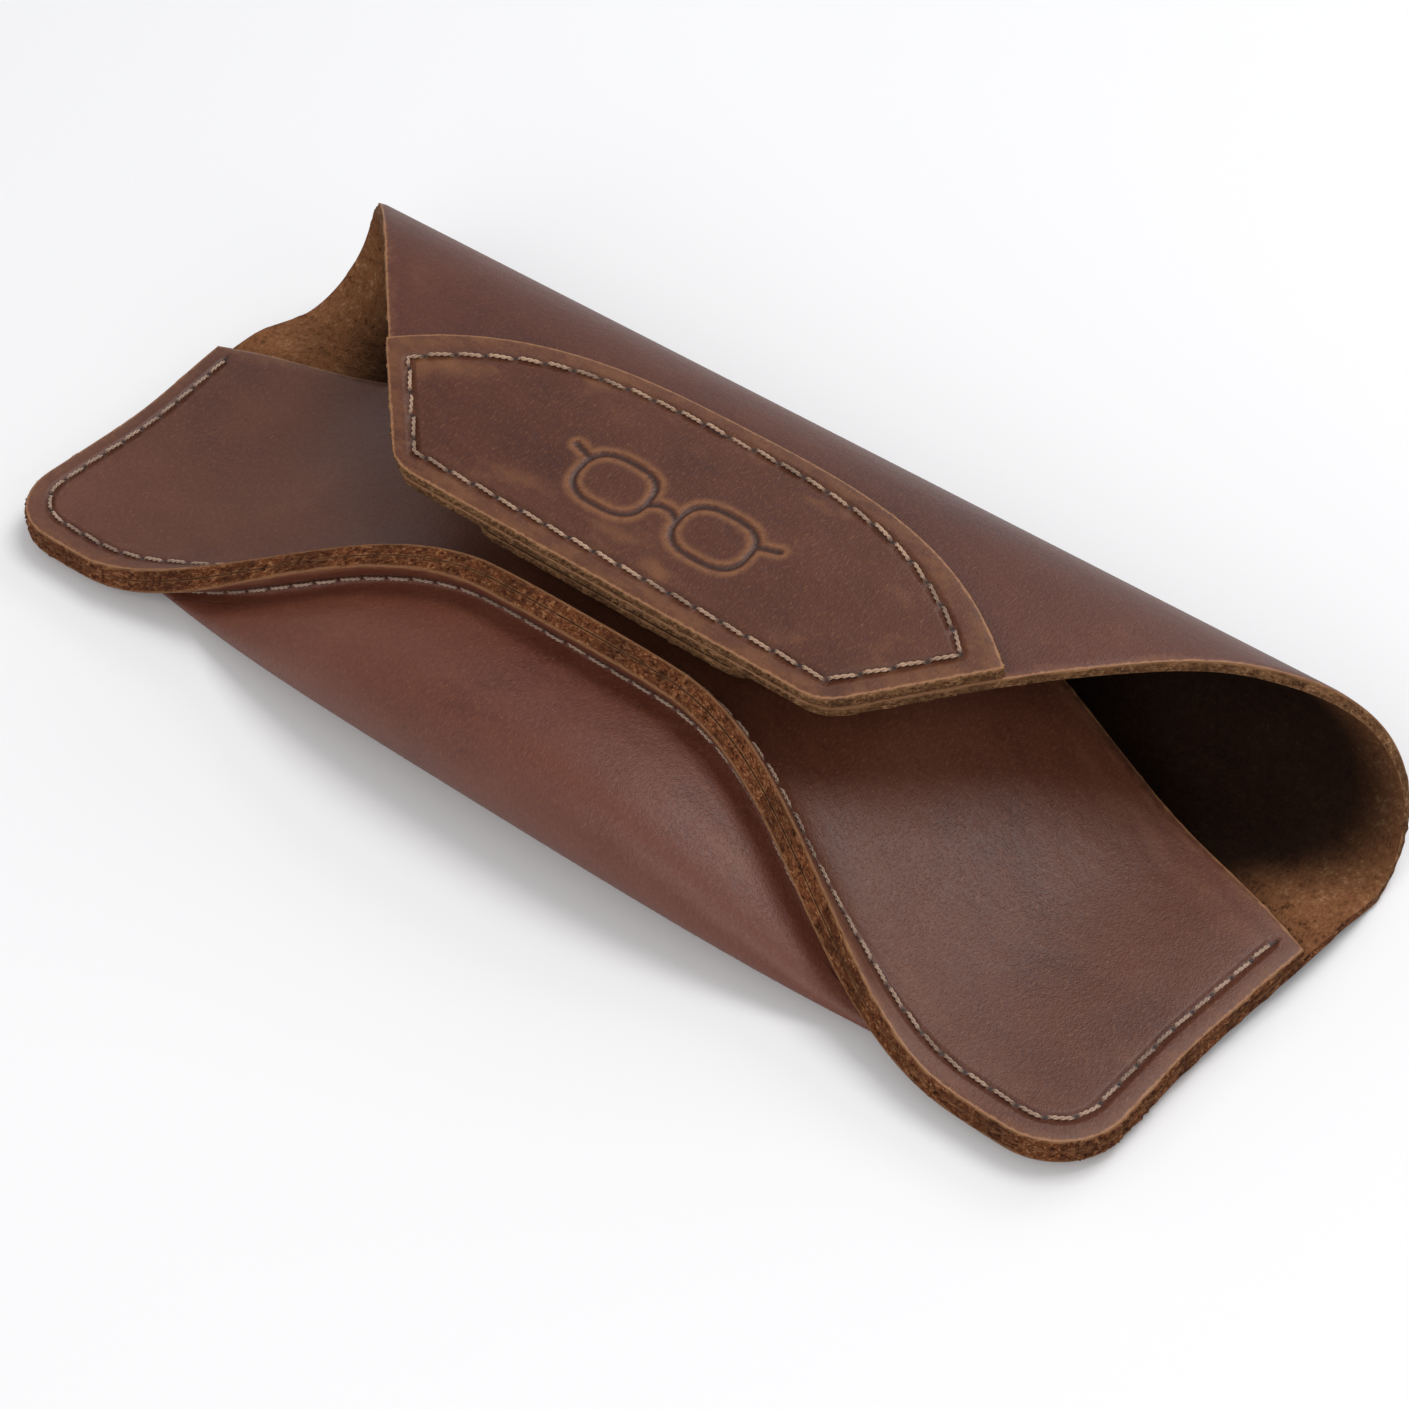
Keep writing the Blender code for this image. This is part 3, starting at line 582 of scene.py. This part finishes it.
def grain_look(name, dark, body, light, scuff, wear=1.0, pitch=SEAM_PITCH, seam=False,
               press=False, roughness=0.47, cloud_scale=0.03, scuffs=0.4):
    """Smooth waxed leather: clouds, mottling, pores, pull-up wear near edges."""
    look = Look(name, Specular_IOR_Level=0.42)
    sheet = look.vector("sheet")
    rim = look.value("rim")
    cloud = look.noise(sheet, cloud_scale, 3.0, 0.5)
    patchy = look.noise(look.stretch(sheet, (1, 1.5, 1)), 0.16, 4.0, 0.6)
    mottle = look.noise(sheet, 1.1, 4.0, 0.65)
    speck = look.noise(look.stretch(sheet, (1, 0.5, 1), (0, 0, 0.6)), 2.7, 3.0, 0.7)
    tone = look.math("MULTIPLY_ADD", cloud, 0.9,
                     look.math("MULTIPLY_ADD", patchy, 0.40,
                               look.math("MULTIPLY_ADD", mottle, 0.25,
                                         look.math("MULTIPLY", speck, 0.45))))
    colour = look.blend(look.span(tone, 0.72, 1.02), dark, body)
    colour = look.blend(look.span(tone, 0.98, 1.32, 0.0, 0.8), colour, light)
    streak = look.noise(look.stretch(sheet, (0.35, 3.2, 1), (0, 0, 0.5)), 0.9, 3.0, 0.6)
    streak = look.span(streak, 0.66, 0.80, 0.0, 0.35)
    colour = look.blend(streak, colour, light)
    near = look.math("ADD", rim, look.math("MULTIPLY", look.math("SUBTRACT", patchy, 0.5), 5.0))
    near = look.math("ADD", near, look.math("MULTIPLY", look.math("SUBTRACT", mottle, 0.5), 3.0))
    colour = look.blend(look.span(speck, 0.55, 0.70, 0.0, 0.45), colour, scuff)
    colour = look.blend(look.span(speck, 0.44, 0.32, 0.0, 0.35), colour, dark)
    rub = look.noise(look.stretch(sheet, (0.55, 1, 1)), 0.13, 3.0, 0.6)
    graze = look.noise(look.stretch(sheet, (0.5, 1, 1), (0, 0, 0.3)), 0.55, 4.0, 0.7)
    worn = look.math("MULTIPLY", look.span(near, 0.2, 3.4 * wear, 0.62, 0.0),
                     look.math("ADD", look.span(graze, 0.42, 0.60, 0.22, 0.72),
                               look.span(rub, 0.42, 0.66, 0.0, 0.35)))
    colour = look.blend(worn, colour, scuff)
    lip = look.math("ADD", rim, look.math("MULTIPLY", look.math("SUBTRACT", mottle, 0.5), 0.7))
    colour = look.blend(look.span(lip, 0.06, 0.38, 0.85, 0.0), colour, rgb(0.30, 0.140, 0.062))
    ring = look.math("MULTIPLY", look.span(rim, 2.5, 4.2), look.span(rim, 4.6, 8.5, 1.0, 0.0))
    ring = look.math("MULTIPLY", ring, look.span(rub, 0.50, 0.72, 0.0, 0.75 * scuffs))
    colour = look.blend(ring, colour, scuff)
    if seam:
        across = look.math("MAXIMUM", look.math("ABSOLUTE", look.value("seam_across")),
                           look.math("SUBTRACT", look.value("seam_far"), 0.7))
        beat = look.math("FRACT", look.value("seam_along"))
        beat = look.math("MULTIPLY", look.math("SUBTRACT", 0.5, look.math(
            "ABSOLUTE", look.math("SUBTRACT", beat, 0.5))), pitch)
        away = look.math("SQRT", look.math("ADD", look.math("MULTIPLY", across, across),
                                           look.math("MULTIPLY", beat, beat)))
        # Painted shade: darker in the stitch groove along the seam, and near black at each stitch
        # hole.
        shade = look.span(look.math("ADD", across, look.math("MULTIPLY", mottle, 0.5)),
                          0.25, 0.95, 0.40, 0.0)
        colour = look.blend(shade, colour, dark)
        hole = look.span(away, 0.15, 0.40, 0.8, 0.0)
        colour = look.blend(hole, colour, rgb(0.006, 0.003, 0.002))
    if press:
        depth = look.value("press")
        halo = look.value("halo")
        halo = look.math("MULTIPLY", halo, look.span(mottle, 0.25, 0.6, 0.45, 1.0))
        colour = look.blend(halo, colour, scuff)
        colour = look.blend(look.span(depth, 0.05, 0.28, 0.0, 0.8), colour,
                            rgb(0.028, 0.009, 0.005))
    pores = look.cells(look.stretch(sheet, (1, 1.25, 1)), 3.4)
    pores = look.math("MULTIPLY_ADD", look.span(pores, 0.05, 0.55), 0.35,
                      look.math("MULTIPLY", speck, 0.9))
    normal = look.bump(pores, 0.00008, 0.80)
    normal = look.bump(patchy, 0.0005, 0.40, normal)
    if seam:
        normal = look.bump(look.span(across, 0.15, 1.0), 0.00035, 0.9, normal)
    shine = look.math("MULTIPLY_ADD", mottle, 0.12,
                      look.math("MULTIPLY_ADD", cloud, 0.14, roughness - 0.13))
    shine = look.math("MULTIPLY_ADD", worn, 0.22, shine)
    return look.finish(colour, shine, normal)


def cut_look(name, deep, body, fleck, lip):
    """Cut edge: pale lips at both faces, brown fibrous core between."""
    look = Look(name, Specular_IOR_Level=0.12)
    sheet = look.vector("sheet")
    depth = look.value("depth")
    fibre = look.noise(look.stretch(sheet, (1, 1, 1.3)), 1.2, 5.0, 0.80)
    hair = look.noise(look.stretch(sheet, (1, 1, 2.2), (0.5, 0.4, 0.6)), 2.6, 3.0, 0.75)
    broad = look.noise(sheet, 0.25, 3.0, 0.6)
    tone = look.math("MULTIPLY_ADD", fibre, 0.62, look.math("MULTIPLY", hair, 0.38))
    colour = look.blend(look.span(tone, 0.42, 0.50), deep, body)
    colour = look.blend(look.span(tone, 0.52, 0.60, 0.0, 0.9), colour, fleck)
    colour = look.blend(look.span(broad, 0.40, 0.66, 0.0, 0.55), colour, deep)
    wave = look.math("MULTIPLY_ADD", look.math("SUBTRACT", fibre, 0.5), 0.55, depth)
    colour = look.blend(look.span(wave, 0.04, 0.24, 0.9, 0.0), colour, lip)
    colour = look.blend(look.span(wave, 0.86, 0.98, 0.0, 0.5), colour, lip)
    normal = look.bump(look.math("MULTIPLY_ADD", hair, 0.6, fibre), 0.0012, 1.0)
    return look.finish(colour, 0.9, normal)


def suede_look(name, deep, body, pale):
    """Flesh side: short matted fibres, with painted shade along the roll and away from the rim.

    The painted shade band is placed by distance on the flat outer sheet, and it starts
    nearer the rim towards +X.  The backing and the patch count that distance from another
    start, so on them it lands off its place.
    """
    look = Look(name, Specular_IOR_Level=0.05)
    sheet = look.vector("sheet")
    broad = look.noise(sheet, 0.12, 3.0, 0.55)
    clump = look.noise(sheet, 0.62, 5.0, 0.70)
    fibre = look.noise(look.stretch(sheet, (1, 0.5, 1), (0, 0, 0.7)), 2.4, 5.0, 0.78)
    tone = look.math("MULTIPLY_ADD", broad, 0.35, look.math("MULTIPLY_ADD", clump, 0.6,
                     look.math("MULTIPLY", fibre, 0.75)))
    colour = look.blend(look.span(tone, 0.62, 0.88), deep, body)
    colour = look.blend(look.span(tone, 0.88, 1.10), colour, pale)
    flat = look.add("SeparateXYZ", {"Vector": sheet}).outputs
    # Painted shade: the suede goes to near black inside the roll, away from the rim and more
    # towards +X, where the open ends lie in shade.
    roll_painted_shade = look.span(flat["Y"], *ROLL_SHADE, -5.0, 7.0)
    inside = look.math("ADD", look.value("rim"), look.span(flat["X"], -60.0, 60.0, -8.0, 0.0))
    inside = look.span(look.math("ADD", inside, roll_painted_shade), 0.0, 14.0, 0.0, 0.95)
    inside = look.math("MULTIPLY", inside, look.span(flat["Y"], *ROLL_SHADE_END, 1.0, 0.25))
    colour = look.blend(inside, colour, rgb(0.010, 0.005, 0.0035))
    height = look.math("ADD", clump, fibre)
    return look.finish(colour, 0.95, look.bump(height, 0.0010, 0.9))


def thread_look(name, deep, body, pale):
    """Two-ply thread, with painted shade where a stitch dives into its hole."""
    look = Look(name, Specular_IOR_Level=0.35, Sheen_Weight=0.2, Sheen_Roughness=0.5)
    strand = look.vector("strand")
    split = look.add("SeparateXYZ", {"Vector": strand})
    fibre = look.math("SINE", look.math("MULTIPLY_ADD", split.outputs["X"], 16.0,
                                        look.math("MULTIPLY", split.outputs["Z"], 3.0)))
    spot = look.noise(strand, 1.3, 3.0, 0.6)
    grime = look.noise(look.stretch(strand, (0.07, 0, 0)), 1.0, 2.0, 0.5)
    ends = look.math("ABSOLUTE", look.math("SUBTRACT", split.outputs["Y"], 0.5))
    pale_share = look.math("MULTIPLY_ADD", fibre, 0.25, look.span(spot, 0.3, 0.7, 0.2, 0.8))
    colour = look.blend(pale_share, body, pale)
    # Painted shade: the thread darkens towards each end, where it dives into its hole.
    colour = look.blend(look.span(ends, 0.30, 0.48, 0.0, 0.9), colour, deep)
    colour = look.blend(look.span(grime, 0.40, 0.62, 0.0, 0.55), colour, deep)
    return look.finish(colour, 0.62, look.bump(fibre, 0.00008, 0.7))


# --- materials --------------------------------------------------------------------
COLUMNS = columns_of(288, HALF)
shell_grid = front_sheet(shell_control, 1, 96, COLUMNS)
# Distances on the flat outer sheet, from its sewn edge: the start of the roll section,
# where the suede's painted shade band comes in, and where it fades out.
BOTTOM_AT = float(shell_grid[2][-1, :, 1].max())
ROLL_SHADE = (BOTTOM_AT + 14.0, BOTTOM_AT + 40.0)
ROLL_SHADE_END = (BOTTOM_AT + 62.0, BOTTOM_AT + 88.0)
# Base and flap are one outer sheet of the same leather; the base's colours are set lighter than
# the flap's as painted light on the front bulge.
shell_look_with_painted_light = grain_look("shell_grain_painted_light", rgb(0.072, 0.0170, 0.0088), rgb(0.108, 0.0285, 0.0145),
                        rgb(0.140, 0.0440, 0.0230), rgb(0.180, 0.070, 0.032), seam=True, wear=0.45)
flap_look = grain_look("flap_grain", rgb(0.050, 0.0112, 0.0056), rgb(0.078, 0.0190, 0.0094),
                       rgb(0.108, 0.0310, 0.0160), rgb(0.155, 0.057, 0.026), wear=0.35)
panel_look = grain_look("panel_grain", rgb(0.060, 0.0165, 0.0082), rgb(0.088, 0.0262, 0.0132),
                        rgb(0.118, 0.0400, 0.021), rgb(0.175, 0.071, 0.033), seam=True, wear=0.75)
patch_look = grain_look("patch_grain", rgb(0.045, 0.0098, 0.0036), rgb(0.072, 0.0172, 0.0062),
                        rgb(0.108, 0.0330, 0.0120), rgb(0.185, 0.071, 0.025), wear=1.5, seam=True,
                        press=True, roughness=0.50, cloud_scale=0.05, pitch=PATCH_PITCH,
                        scuffs=1.2)
edge_look = cut_look("leather_cut_edge", rgb(0.046, 0.0135, 0.0052), rgb(0.240, 0.074, 0.0260),
                     rgb(0.62, 0.300, 0.135), rgb(0.42, 0.205, 0.098))
flap_edge_look = cut_look("flap_cut_edge", rgb(0.090, 0.0380, 0.0160), rgb(0.310, 0.145, 0.0620),
                          rgb(0.60, 0.345, 0.170), rgb(0.42, 0.210, 0.100))
suede = suede_look("leather_flesh_side", rgb(0.075, 0.030, 0.0125), rgb(0.300, 0.125, 0.0540),
                   rgb(0.560, 0.310, 0.155))
split_look = suede_look("backing_flesh_side", rgb(0.06, 0.026, 0.012), rgb(0.15, 0.07, 0.032),
                        rgb(0.27, 0.145, 0.07))
seam_thread = thread_look("seam_thread_twist", rgb(0.09, 0.042, 0.025), rgb(0.34, 0.205, 0.135),
                          rgb(0.55, 0.390, 0.285))
patch_thread = thread_look("patch_thread_twist", rgb(0.08, 0.038, 0.022), rgb(0.38, 0.220, 0.130),
                           rgb(0.60, 0.400, 0.270))


# --- outer sheet ------------------------------------------------------------------
def section_line(control_at, x, behind):
    """World points at distances behind the sewn edge, and their normals, either way up."""
    x, behind = np.asarray(x, float), np.asarray(behind, float)
    t = np.linspace(0, 1, 241)
    weights = spline_weights(t, CONTROL_COUNT)

    def at(value):
        section = np.einsum("tk,nkc->ntc", weights, control_at(value))
        lengths = np.concatenate([np.zeros((len(x), 1)), np.cumsum(
            np.linalg.norm(np.diff(section, axis=1), axis=-1), 1)], 1)
        found = [[np.interp(behind[n] + step, lengths[n], section[n, :, k]) for k in (0, 1)]
                 for step in (0, 0.4, -0.4) for n in range(len(x))]
        found = np.array(found).reshape(3, len(x), 2)
        return place(value, found[0]), place(value, found[1]) - place(value, found[2])

    middle, down = at(x)
    right, _ = at(x + 0.5)
    left, _ = at(x - 0.5)
    return middle, unit(np.cross(right - left, down))


def seam_plan():
    turn_radius = WING_CORNER - SEAM_INSET
    end = float(panel_back(np.array(WING_HALF))) - 2.5
    y = np.arange(end, WING_FRONT + WING_CORNER, -1.0)
    side = [(float(wing_edge(v)) - SEAM_INSET, v - WING_FRONT) for v in y]
    for turn in np.radians(np.linspace(90, 0, 13)):
        side.append((WING_HALF - WING_CORNER + turn_radius * math.sin(turn),
                     WING_CORNER - turn_radius * math.cos(turn)))
    front_half = WING_HALF - WING_CORNER
    front = [(x, SEAM_INSET) for x in np.linspace(front_half, -front_half, 152)[1:-1]]
    plan = side + front + [(-x, behind) for x, behind in reversed(side)]
    return np.array(plan)


def seam_line(control_at, grain_side):
    plan = seam_plan()
    middle, normal = section_line(control_at, plan[:, 0], plan[:, 1])
    section_normal = grain_side(plan[:, 0])
    flip = np.sign((normal * section_normal).sum(1, keepdims=True))
    return resample(middle, normal * flip, 0.5)


def panel_side(x):
    _, _, side = fin(x)
    return np.stack([np.zeros_like(x), side[..., 0], side[..., 1]], -1)


panel_seam = seam_line(panel_control, panel_side)
shell_seam = seam_line(shell_control, lambda x: -panel_side(x))

grain, flesh, flat = shell_grid
stops = np.linspace(0, JOIN_AT, 25)[1:]
half = sheet_edge(stops)
x = half[:, None] * COLUMNS[None, :]
low = np.broadcast_to(stops[:, None], x.shape)
grain = np.concatenate([grain, roll_point(x, low, np.zeros_like(x))])
flesh = np.concatenate([flesh, roll_point(x, low, np.zeros_like(x) - LEATHER)])
flat = np.concatenate([flat, np.stack([x, low + BOTTOM_AT], -1)])
base_sheet = leather("outer_sheet_base", grain, flesh, flat, [shell_look_with_painted_light, suede, edge_look],
                     plain_rows=(-1,), seam=shell_seam)
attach(base_sheet, "case_body")
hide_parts("outer_shell")

stops = np.concatenate([np.linspace(JOIN_AT, FLAP_END - 0.9, 92),
                        [FLAP_END - 0.5, FLAP_END - 0.2, FLAP_END]])
half = sheet_edge(stops)
x = half[:, None] * COLUMNS[None, :]
low = np.broadcast_to(stops[:, None], x.shape)
flap_sheet = leather("outer_sheet_flap", roll_point(x, low, np.zeros_like(x)),
                     roll_point(x, low, np.zeros_like(x) - LEATHER),
                     np.stack([x, low + BOTTOM_AT], -1), [flap_look, suede, flap_edge_look],
                     plain_rows=(0,))
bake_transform(flap_sheet)
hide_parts("flap")

# --- front panel ------------------------------------------------------------------
grain, flesh, flat = front_sheet(panel_control, -1, 104, COLUMNS)
panel = leather("front_panel_sheet", grain, flesh, flat, [panel_look, suede, edge_look],
                seam=panel_seam)
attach(panel, "case_body")
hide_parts("front_panel")


# --- patch with its pressed emblem --------------------------------------------------
def emblem_distance(x, v):
    """Distance to the lines of a small pair of spectacles round (0, 0)."""
    lens_w, lens_h, centre = 5.2, 3.6, 7.6
    power = 2.7  # between an ellipse and a rectangle
    u, w = (np.abs(x) - centre) / lens_w, v / lens_h
    ring = (np.abs(u) ** power + np.abs(w) ** power) ** (1 / power)
    slope = np.sqrt((u / lens_w) ** 2 + (w / lens_h) ** 2) / np.maximum(np.hypot(u, w), 1e-6)
    lenses = np.abs(ring - 1) / np.maximum(slope, 1e-6)
    bridge = np.abs(np.hypot(x, v - 2.6) - 3.1)
    bridge = np.where((np.abs(x) < 2.4) & (v < 2.6), bridge, np.inf)
    best = np.minimum(lenses, bridge)
    start, end = np.array([12.5, -1.5]), np.array([15.6, -2.4])
    span = end - start
    share = np.clip(((np.abs(x) - start[0]) * span[0] + (v - start[1]) * span[1])
                    / (span @ span), 0, 1)
    return np.minimum(best, np.hypot(np.abs(x) - start[0] - share * span[0],
                                     v - start[1] - share * span[1]))


def build_patch():
    rows, columns = 92, columns_of(300, 44)
    k = np.concatenate([[0, 0.008], np.linspace(0, 1, rows)[1:-1], [0.992, 1]])
    side = mix(PATCH_AT, FLAP_END, k)[:, None]
    half = sheet_edge(side)
    u = columns[None, :]
    x = u * half
    distance = side - (1 - k[:, None]) * PATCH_RISE * (1 - np.abs(u) ** 3)
    high = np.full(x.shape, GAP + LEATHER)
    emblem = emblem_distance(x - 0.4, distance - (FLAP_END - 11.7))
    press = 0.30 * (1 - smooth((emblem - 0.08) / 0.32))
    (low_half, low), (high_half, top) = patch_line()
    rise = PATCH_RISE - 1.5
    plan = [(mix(low_half, high_half, t), mix(low, top, t))
            for t in np.linspace(0, 1, 20)[:-1]]
    plan += [(v * high_half, top - rise * (1 - abs(v) ** 3)) for v in np.linspace(1, -1, 161)]
    plan += [(mix(-high_half, -low_half, t), mix(top, low, t))
             for t in np.linspace(0, 1, 20)[1:]]
    plan += [(v * low_half, low) for v in np.linspace(-1, 1, 60)[1:]]
    plan = np.array(plan)
    over = np.full(len(plan), GAP + LEATHER)
    line = roll_point(plan[:, 0], plan[:, 1], over)
    _, normal = roll_at(plan[:, 1])
    normals = np.column_stack([np.zeros(len(plan)), normal])
    line, normals = resample(line, normals, 0.4)
    patch = leather("flap_patch_sheet", roll_point(x, distance, high),
                    roll_point(x, distance, high - LEATHER - 0.15),
                    np.stack([x, distance], -1), [patch_look, suede, flap_edge_look],
                    seam=(line, normals), press=press, pitch=PATCH_PITCH)
    halo = (smooth((emblem - 0.35) / 0.25) * (1 - smooth((emblem - 0.6) / 0.9))).ravel()
    count = len(patch.data.vertices)
    add_value(patch, "halo", np.concatenate([halo, np.zeros(count - len(halo))]))
    return patch, plan, (line, normals)


def patch_line():
    slant = PATCH_INSET * math.sqrt(2)
    low, high = FLAP_END - PATCH_INSET, PATCH_AT + 1.1
    return ((STRAIGHT_HALF - (low - STRAIGHT_AT) - slant, low),
            (STRAIGHT_HALF - (high - STRAIGHT_AT) - slant, high))


patch, patch_plan, patch_seam = build_patch()
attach(patch, "flap_body")
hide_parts("flap_patch")


# --- backing ----------------------------------------------------------------------
def build_backing():
    reach = BACKING_LENGTH * (1 - np.cos(np.linspace(0, math.pi, 40))) / 2
    near = np.minimum(reach, BACKING_LENGTH - reach)
    inset = np.clip(BACKING_CORNER - near, 0, BACKING_CORNER)
    half = BACKING_HALF_WIDTH - BACKING_CORNER + np.sqrt(BACKING_CORNER ** 2 - inset ** 2)
    x = half[:, None] * columns_of(90, BACKING_HALF_WIDTH)[None, :]
    at = np.broadcast_to((FLAP_END - BACKING_LENGTH + reach)[:, None], x.shape)
    high = np.full(x.shape, -LEATHER - GAP + 0.15)
    return leather("flap_backing_sheet", roll_point(x, at, high),
                   roll_point(x, at, high - LEATHER - 0.15),
                   np.stack([x + 300, at], -1), [split_look, split_look, flap_edge_look])


backing = build_backing()
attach(backing, "flap_body")
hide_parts("flap_backing")

# --- stitching --------------------------------------------------------------------
stitch_run("seam_stitches_front", *panel_seam, seam_thread, "case_body",
           "seam_needle_thread", width=0.25, height=0.10, uneven=0.05)
stitch_run("seam_stitches_under", *shell_seam, seam_thread, "case_body",
           "seam_bobbin_thread", width=0.22, height=0.07, uneven=0.05)
stitch_run("patch_stitches_top", *patch_seam, patch_thread, "flap_body",
           "patch_needle_thread", width=0.26, pitch=PATCH_PITCH, height=0.07, lean=0.13,
           uneven=0.07)


def under_patch_line():
    """Same stitch line on the flap's flesh side, over the backing where it lies."""
    plan = patch_plan
    inside = ((np.abs(plan[:, 0]) < BACKING_HALF_WIDTH + 0.4)
              & (plan[:, 1] > FLAP_END - BACKING_LENGTH))
    depth = np.where(inside, -2 * LEATHER - GAP - 0.02, -LEATHER - 0.02)
    _, normal = roll_at(plan[:, 1])
    return resample(roll_point(plan[:, 0], plan[:, 1], depth),
                    -np.column_stack([np.zeros(len(plan)), normal]), 0.4)


stitch_run("patch_stitches_under", *under_patch_line(), patch_thread, "flap_body",
           "patch_bobbin_thread", width=0.29, pitch=PATCH_PITCH, height=0.12)


# --- magnet cover on the panel -------------------------------------------------------
def panel_centre():
    over = roll_at(FLAP_END - MAGNET_INSET)[0][0]
    weights = spline_weights(np.linspace(0, 1, 801), CONTROL_COUNT)
    section = weights @ panel_control(np.array(0.0))
    lengths = lengths_along(section)
    far = lengths > lengths[-1] / 3
    return float(lengths[far][np.searchsorted(section[far, 0], over)])


def cover_ring():
    centre = panel_centre()
    turn = np.linspace(0, 2 * math.pi, 97)
    points, normal = section_line(panel_control, COVER_STITCH_RADIUS * np.cos(turn),
                                  centre + COVER_STITCH_RADIUS * np.sin(turn))
    return points, normal * np.sign(normal[:, 2:3])


stitch_run("cover_stitches", *cover_ring(), seam_thread, "case_body", "cover_thread",
           width=0.27, height=0.14)


def build_cover():
    """Moulded leather cup over the lower magnet, flange stitched to the panel."""
    centre = panel_centre()
    point, normal = section_line(panel_control, np.array([0.0]), np.array([centre]))
    normal = normal[0] * np.sign(normal[0, 2])
    forward = np.cross([1.0, 0, 0], normal)
    top = -LEATHER - 2 * GAP + 0.1
    inner = MAGNET_RADIUS + GAP
    floor = top - MAGNET_THICKNESS - GAP
    wall = COVER_WALL
    profile = [(inner, top), (COVER_RADIUS - 0.2, top), (COVER_RADIUS, top - 0.2),
               (COVER_RADIUS, top - wall + 0.2), (COVER_RADIUS - 0.2, top - wall),
               (inner + wall + 0.5, top - wall), (inner + wall + 0.12, top - wall - 0.12),
               (inner + wall, top - wall - 0.5), (inner + wall, floor - wall + 0.7),
               (inner + wall - 0.2, floor - wall + 0.2), (inner + wall - 0.7, floor - wall),
               (4.0, floor - wall - 0.08), (2.0, floor - wall - 0.1), (0.5, floor - wall - 0.1)]
    inside = [(0.5, floor), (inner - 0.4, floor), (inner, floor + 0.4)]
    ring = profile + inside
    turns = 72
    angle = np.arange(turns) * 2 * math.pi / turns
    points = []
    for radius, height in ring:
        points.append(point[0] + radius * (np.cos(angle)[:, None] * np.array([1.0, 0, 0])
                                           + np.sin(angle)[:, None] * forward)
                      + normal * height)
    points = np.vstack(points)
    faces = []
    count = len(ring)
    loop = list(range(count))
    for a, b in zip(loop, loop[1:] + loop[:1]):
        if (a, b) == (len(profile) - 1, len(profile)):
            continue
        for j in range(turns):
            m = (j + 1) % turns
            faces.append((a * turns + j, a * turns + m, b * turns + m, b * turns + j))
    faces.append(tuple((len(profile) - 1) * turns + j for j in range(turns)))
    faces.append(tuple(len(profile) * turns + j for j in range(turns)))
    made = mesh_object("magnet_cover_cup", points, faces, [split_look])
    flip_outward(made)
    local = points - point[0]
    add_value(made, "sheet", np.column_stack([local @ np.array([1.0, 0, 0]), local @ forward,
                                              local @ normal]))
    return made


cover = build_cover()
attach(cover, "case_body")
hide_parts("magnet_cover")

# --- magnets ----------------------------------------------------------------------
nickel = Look("nickel_plate", Metallic=1.0)
spot = nickel.add("TexCoord").outputs["Object"]
turned = nickel.noise(spot, 2600.0, 3.0, 0.6)
nickel_look = nickel.finish(nickel.blend(nickel.span(turned, 0.3, 0.7), rgb(0.52, 0.52, 0.54),
                                         rgb(0.68, 0.67, 0.66)),
                            nickel.span(turned, 0.3, 0.7, 0.25, 0.40),
                            nickel.bump(turned, 0.00003, 0.4))
for name in ("flap_magnet", "panel_magnet"):
    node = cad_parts[name]
    node.data.materials.clear()
    node.data.materials.append(nickel_look)

# --- floor, light and camera --------------------------------------------------------
floor_mesh = bpy.data.meshes.new("floor")
floor_mesh.from_pydata([(-3, -3, -0.0002), (3, -3, -0.0002), (3, 3, -0.0002), (-3, 3, -0.0002)],
                       [], [(0, 1, 2, 3)])
floor = bpy.data.objects.new("floor", floor_mesh)
bpy.context.scene.collection.objects.link(floor)
paper = Look("floor_paper", Specular_IOR_Level=0.1)
floor_mesh.materials.append(paper.finish(rgb(0.780, 0.780, 0.787), 0.9))


def area_light(name, place_at, target, size, power, colour=(1, 1, 1)):
    light = bpy.data.lights.new(name, "AREA")
    light.energy = power
    light.color = colour
    light.size = size
    made = bpy.data.objects.new(name, light)
    made.location = place_at
    toward = Vector(target) - Vector(place_at)
    made.rotation_euler = toward.to_track_quat("-Z", "Y").to_euler()
    bpy.context.scene.collection.objects.link(made)


area_light("softbox_front", (0.20, -0.88, 0.65), (0.0, 0.0, 0.0), 0.8, 5.4, (1, 0.985, 0.97))
area_light("softbox_top", (0.17, 0.33, 0.95), (0.0, 0.0, 0.0), 0.50, 5.0)
area_light("softbox_back", (0.10, 0.90, 0.55), (0.0, 0.0, 0.0), 0.50, 2.4)
area_light("softbox_right", (0.85, -0.30, 0.42), (0.02, 0.0, 0.0), 0.50, 1.1)

world = bpy.data.worlds.new("studio")
bpy.context.scene.world = world
world.use_nodes = True
backdrop = world.node_tree.nodes["Background"]
backdrop.inputs["Color"].default_value = (0.97, 0.98, 1.0, 1.0)
backdrop.inputs["Strength"].default_value = 0.48

AZIMUTH, ELEVATION = math.radians(39.905), math.radians(43.215)
lens = bpy.data.cameras.new("camera")
lens.sensor_width = 36.0
lens.lens = 84.315117
lens.clip_start, lens.clip_end = 0.01, 20.0
camera = bpy.data.objects.new("camera", lens)
camera.location = (0.1943, -0.2260, 0.2759)
camera.rotation_euler = (math.pi / 2 - ELEVATION, 0.0, AZIMUTH)
bpy.context.scene.collection.objects.link(camera)
bpy.context.scene.camera = camera
bpy.context.scene.view_settings.view_transform = "Standard"
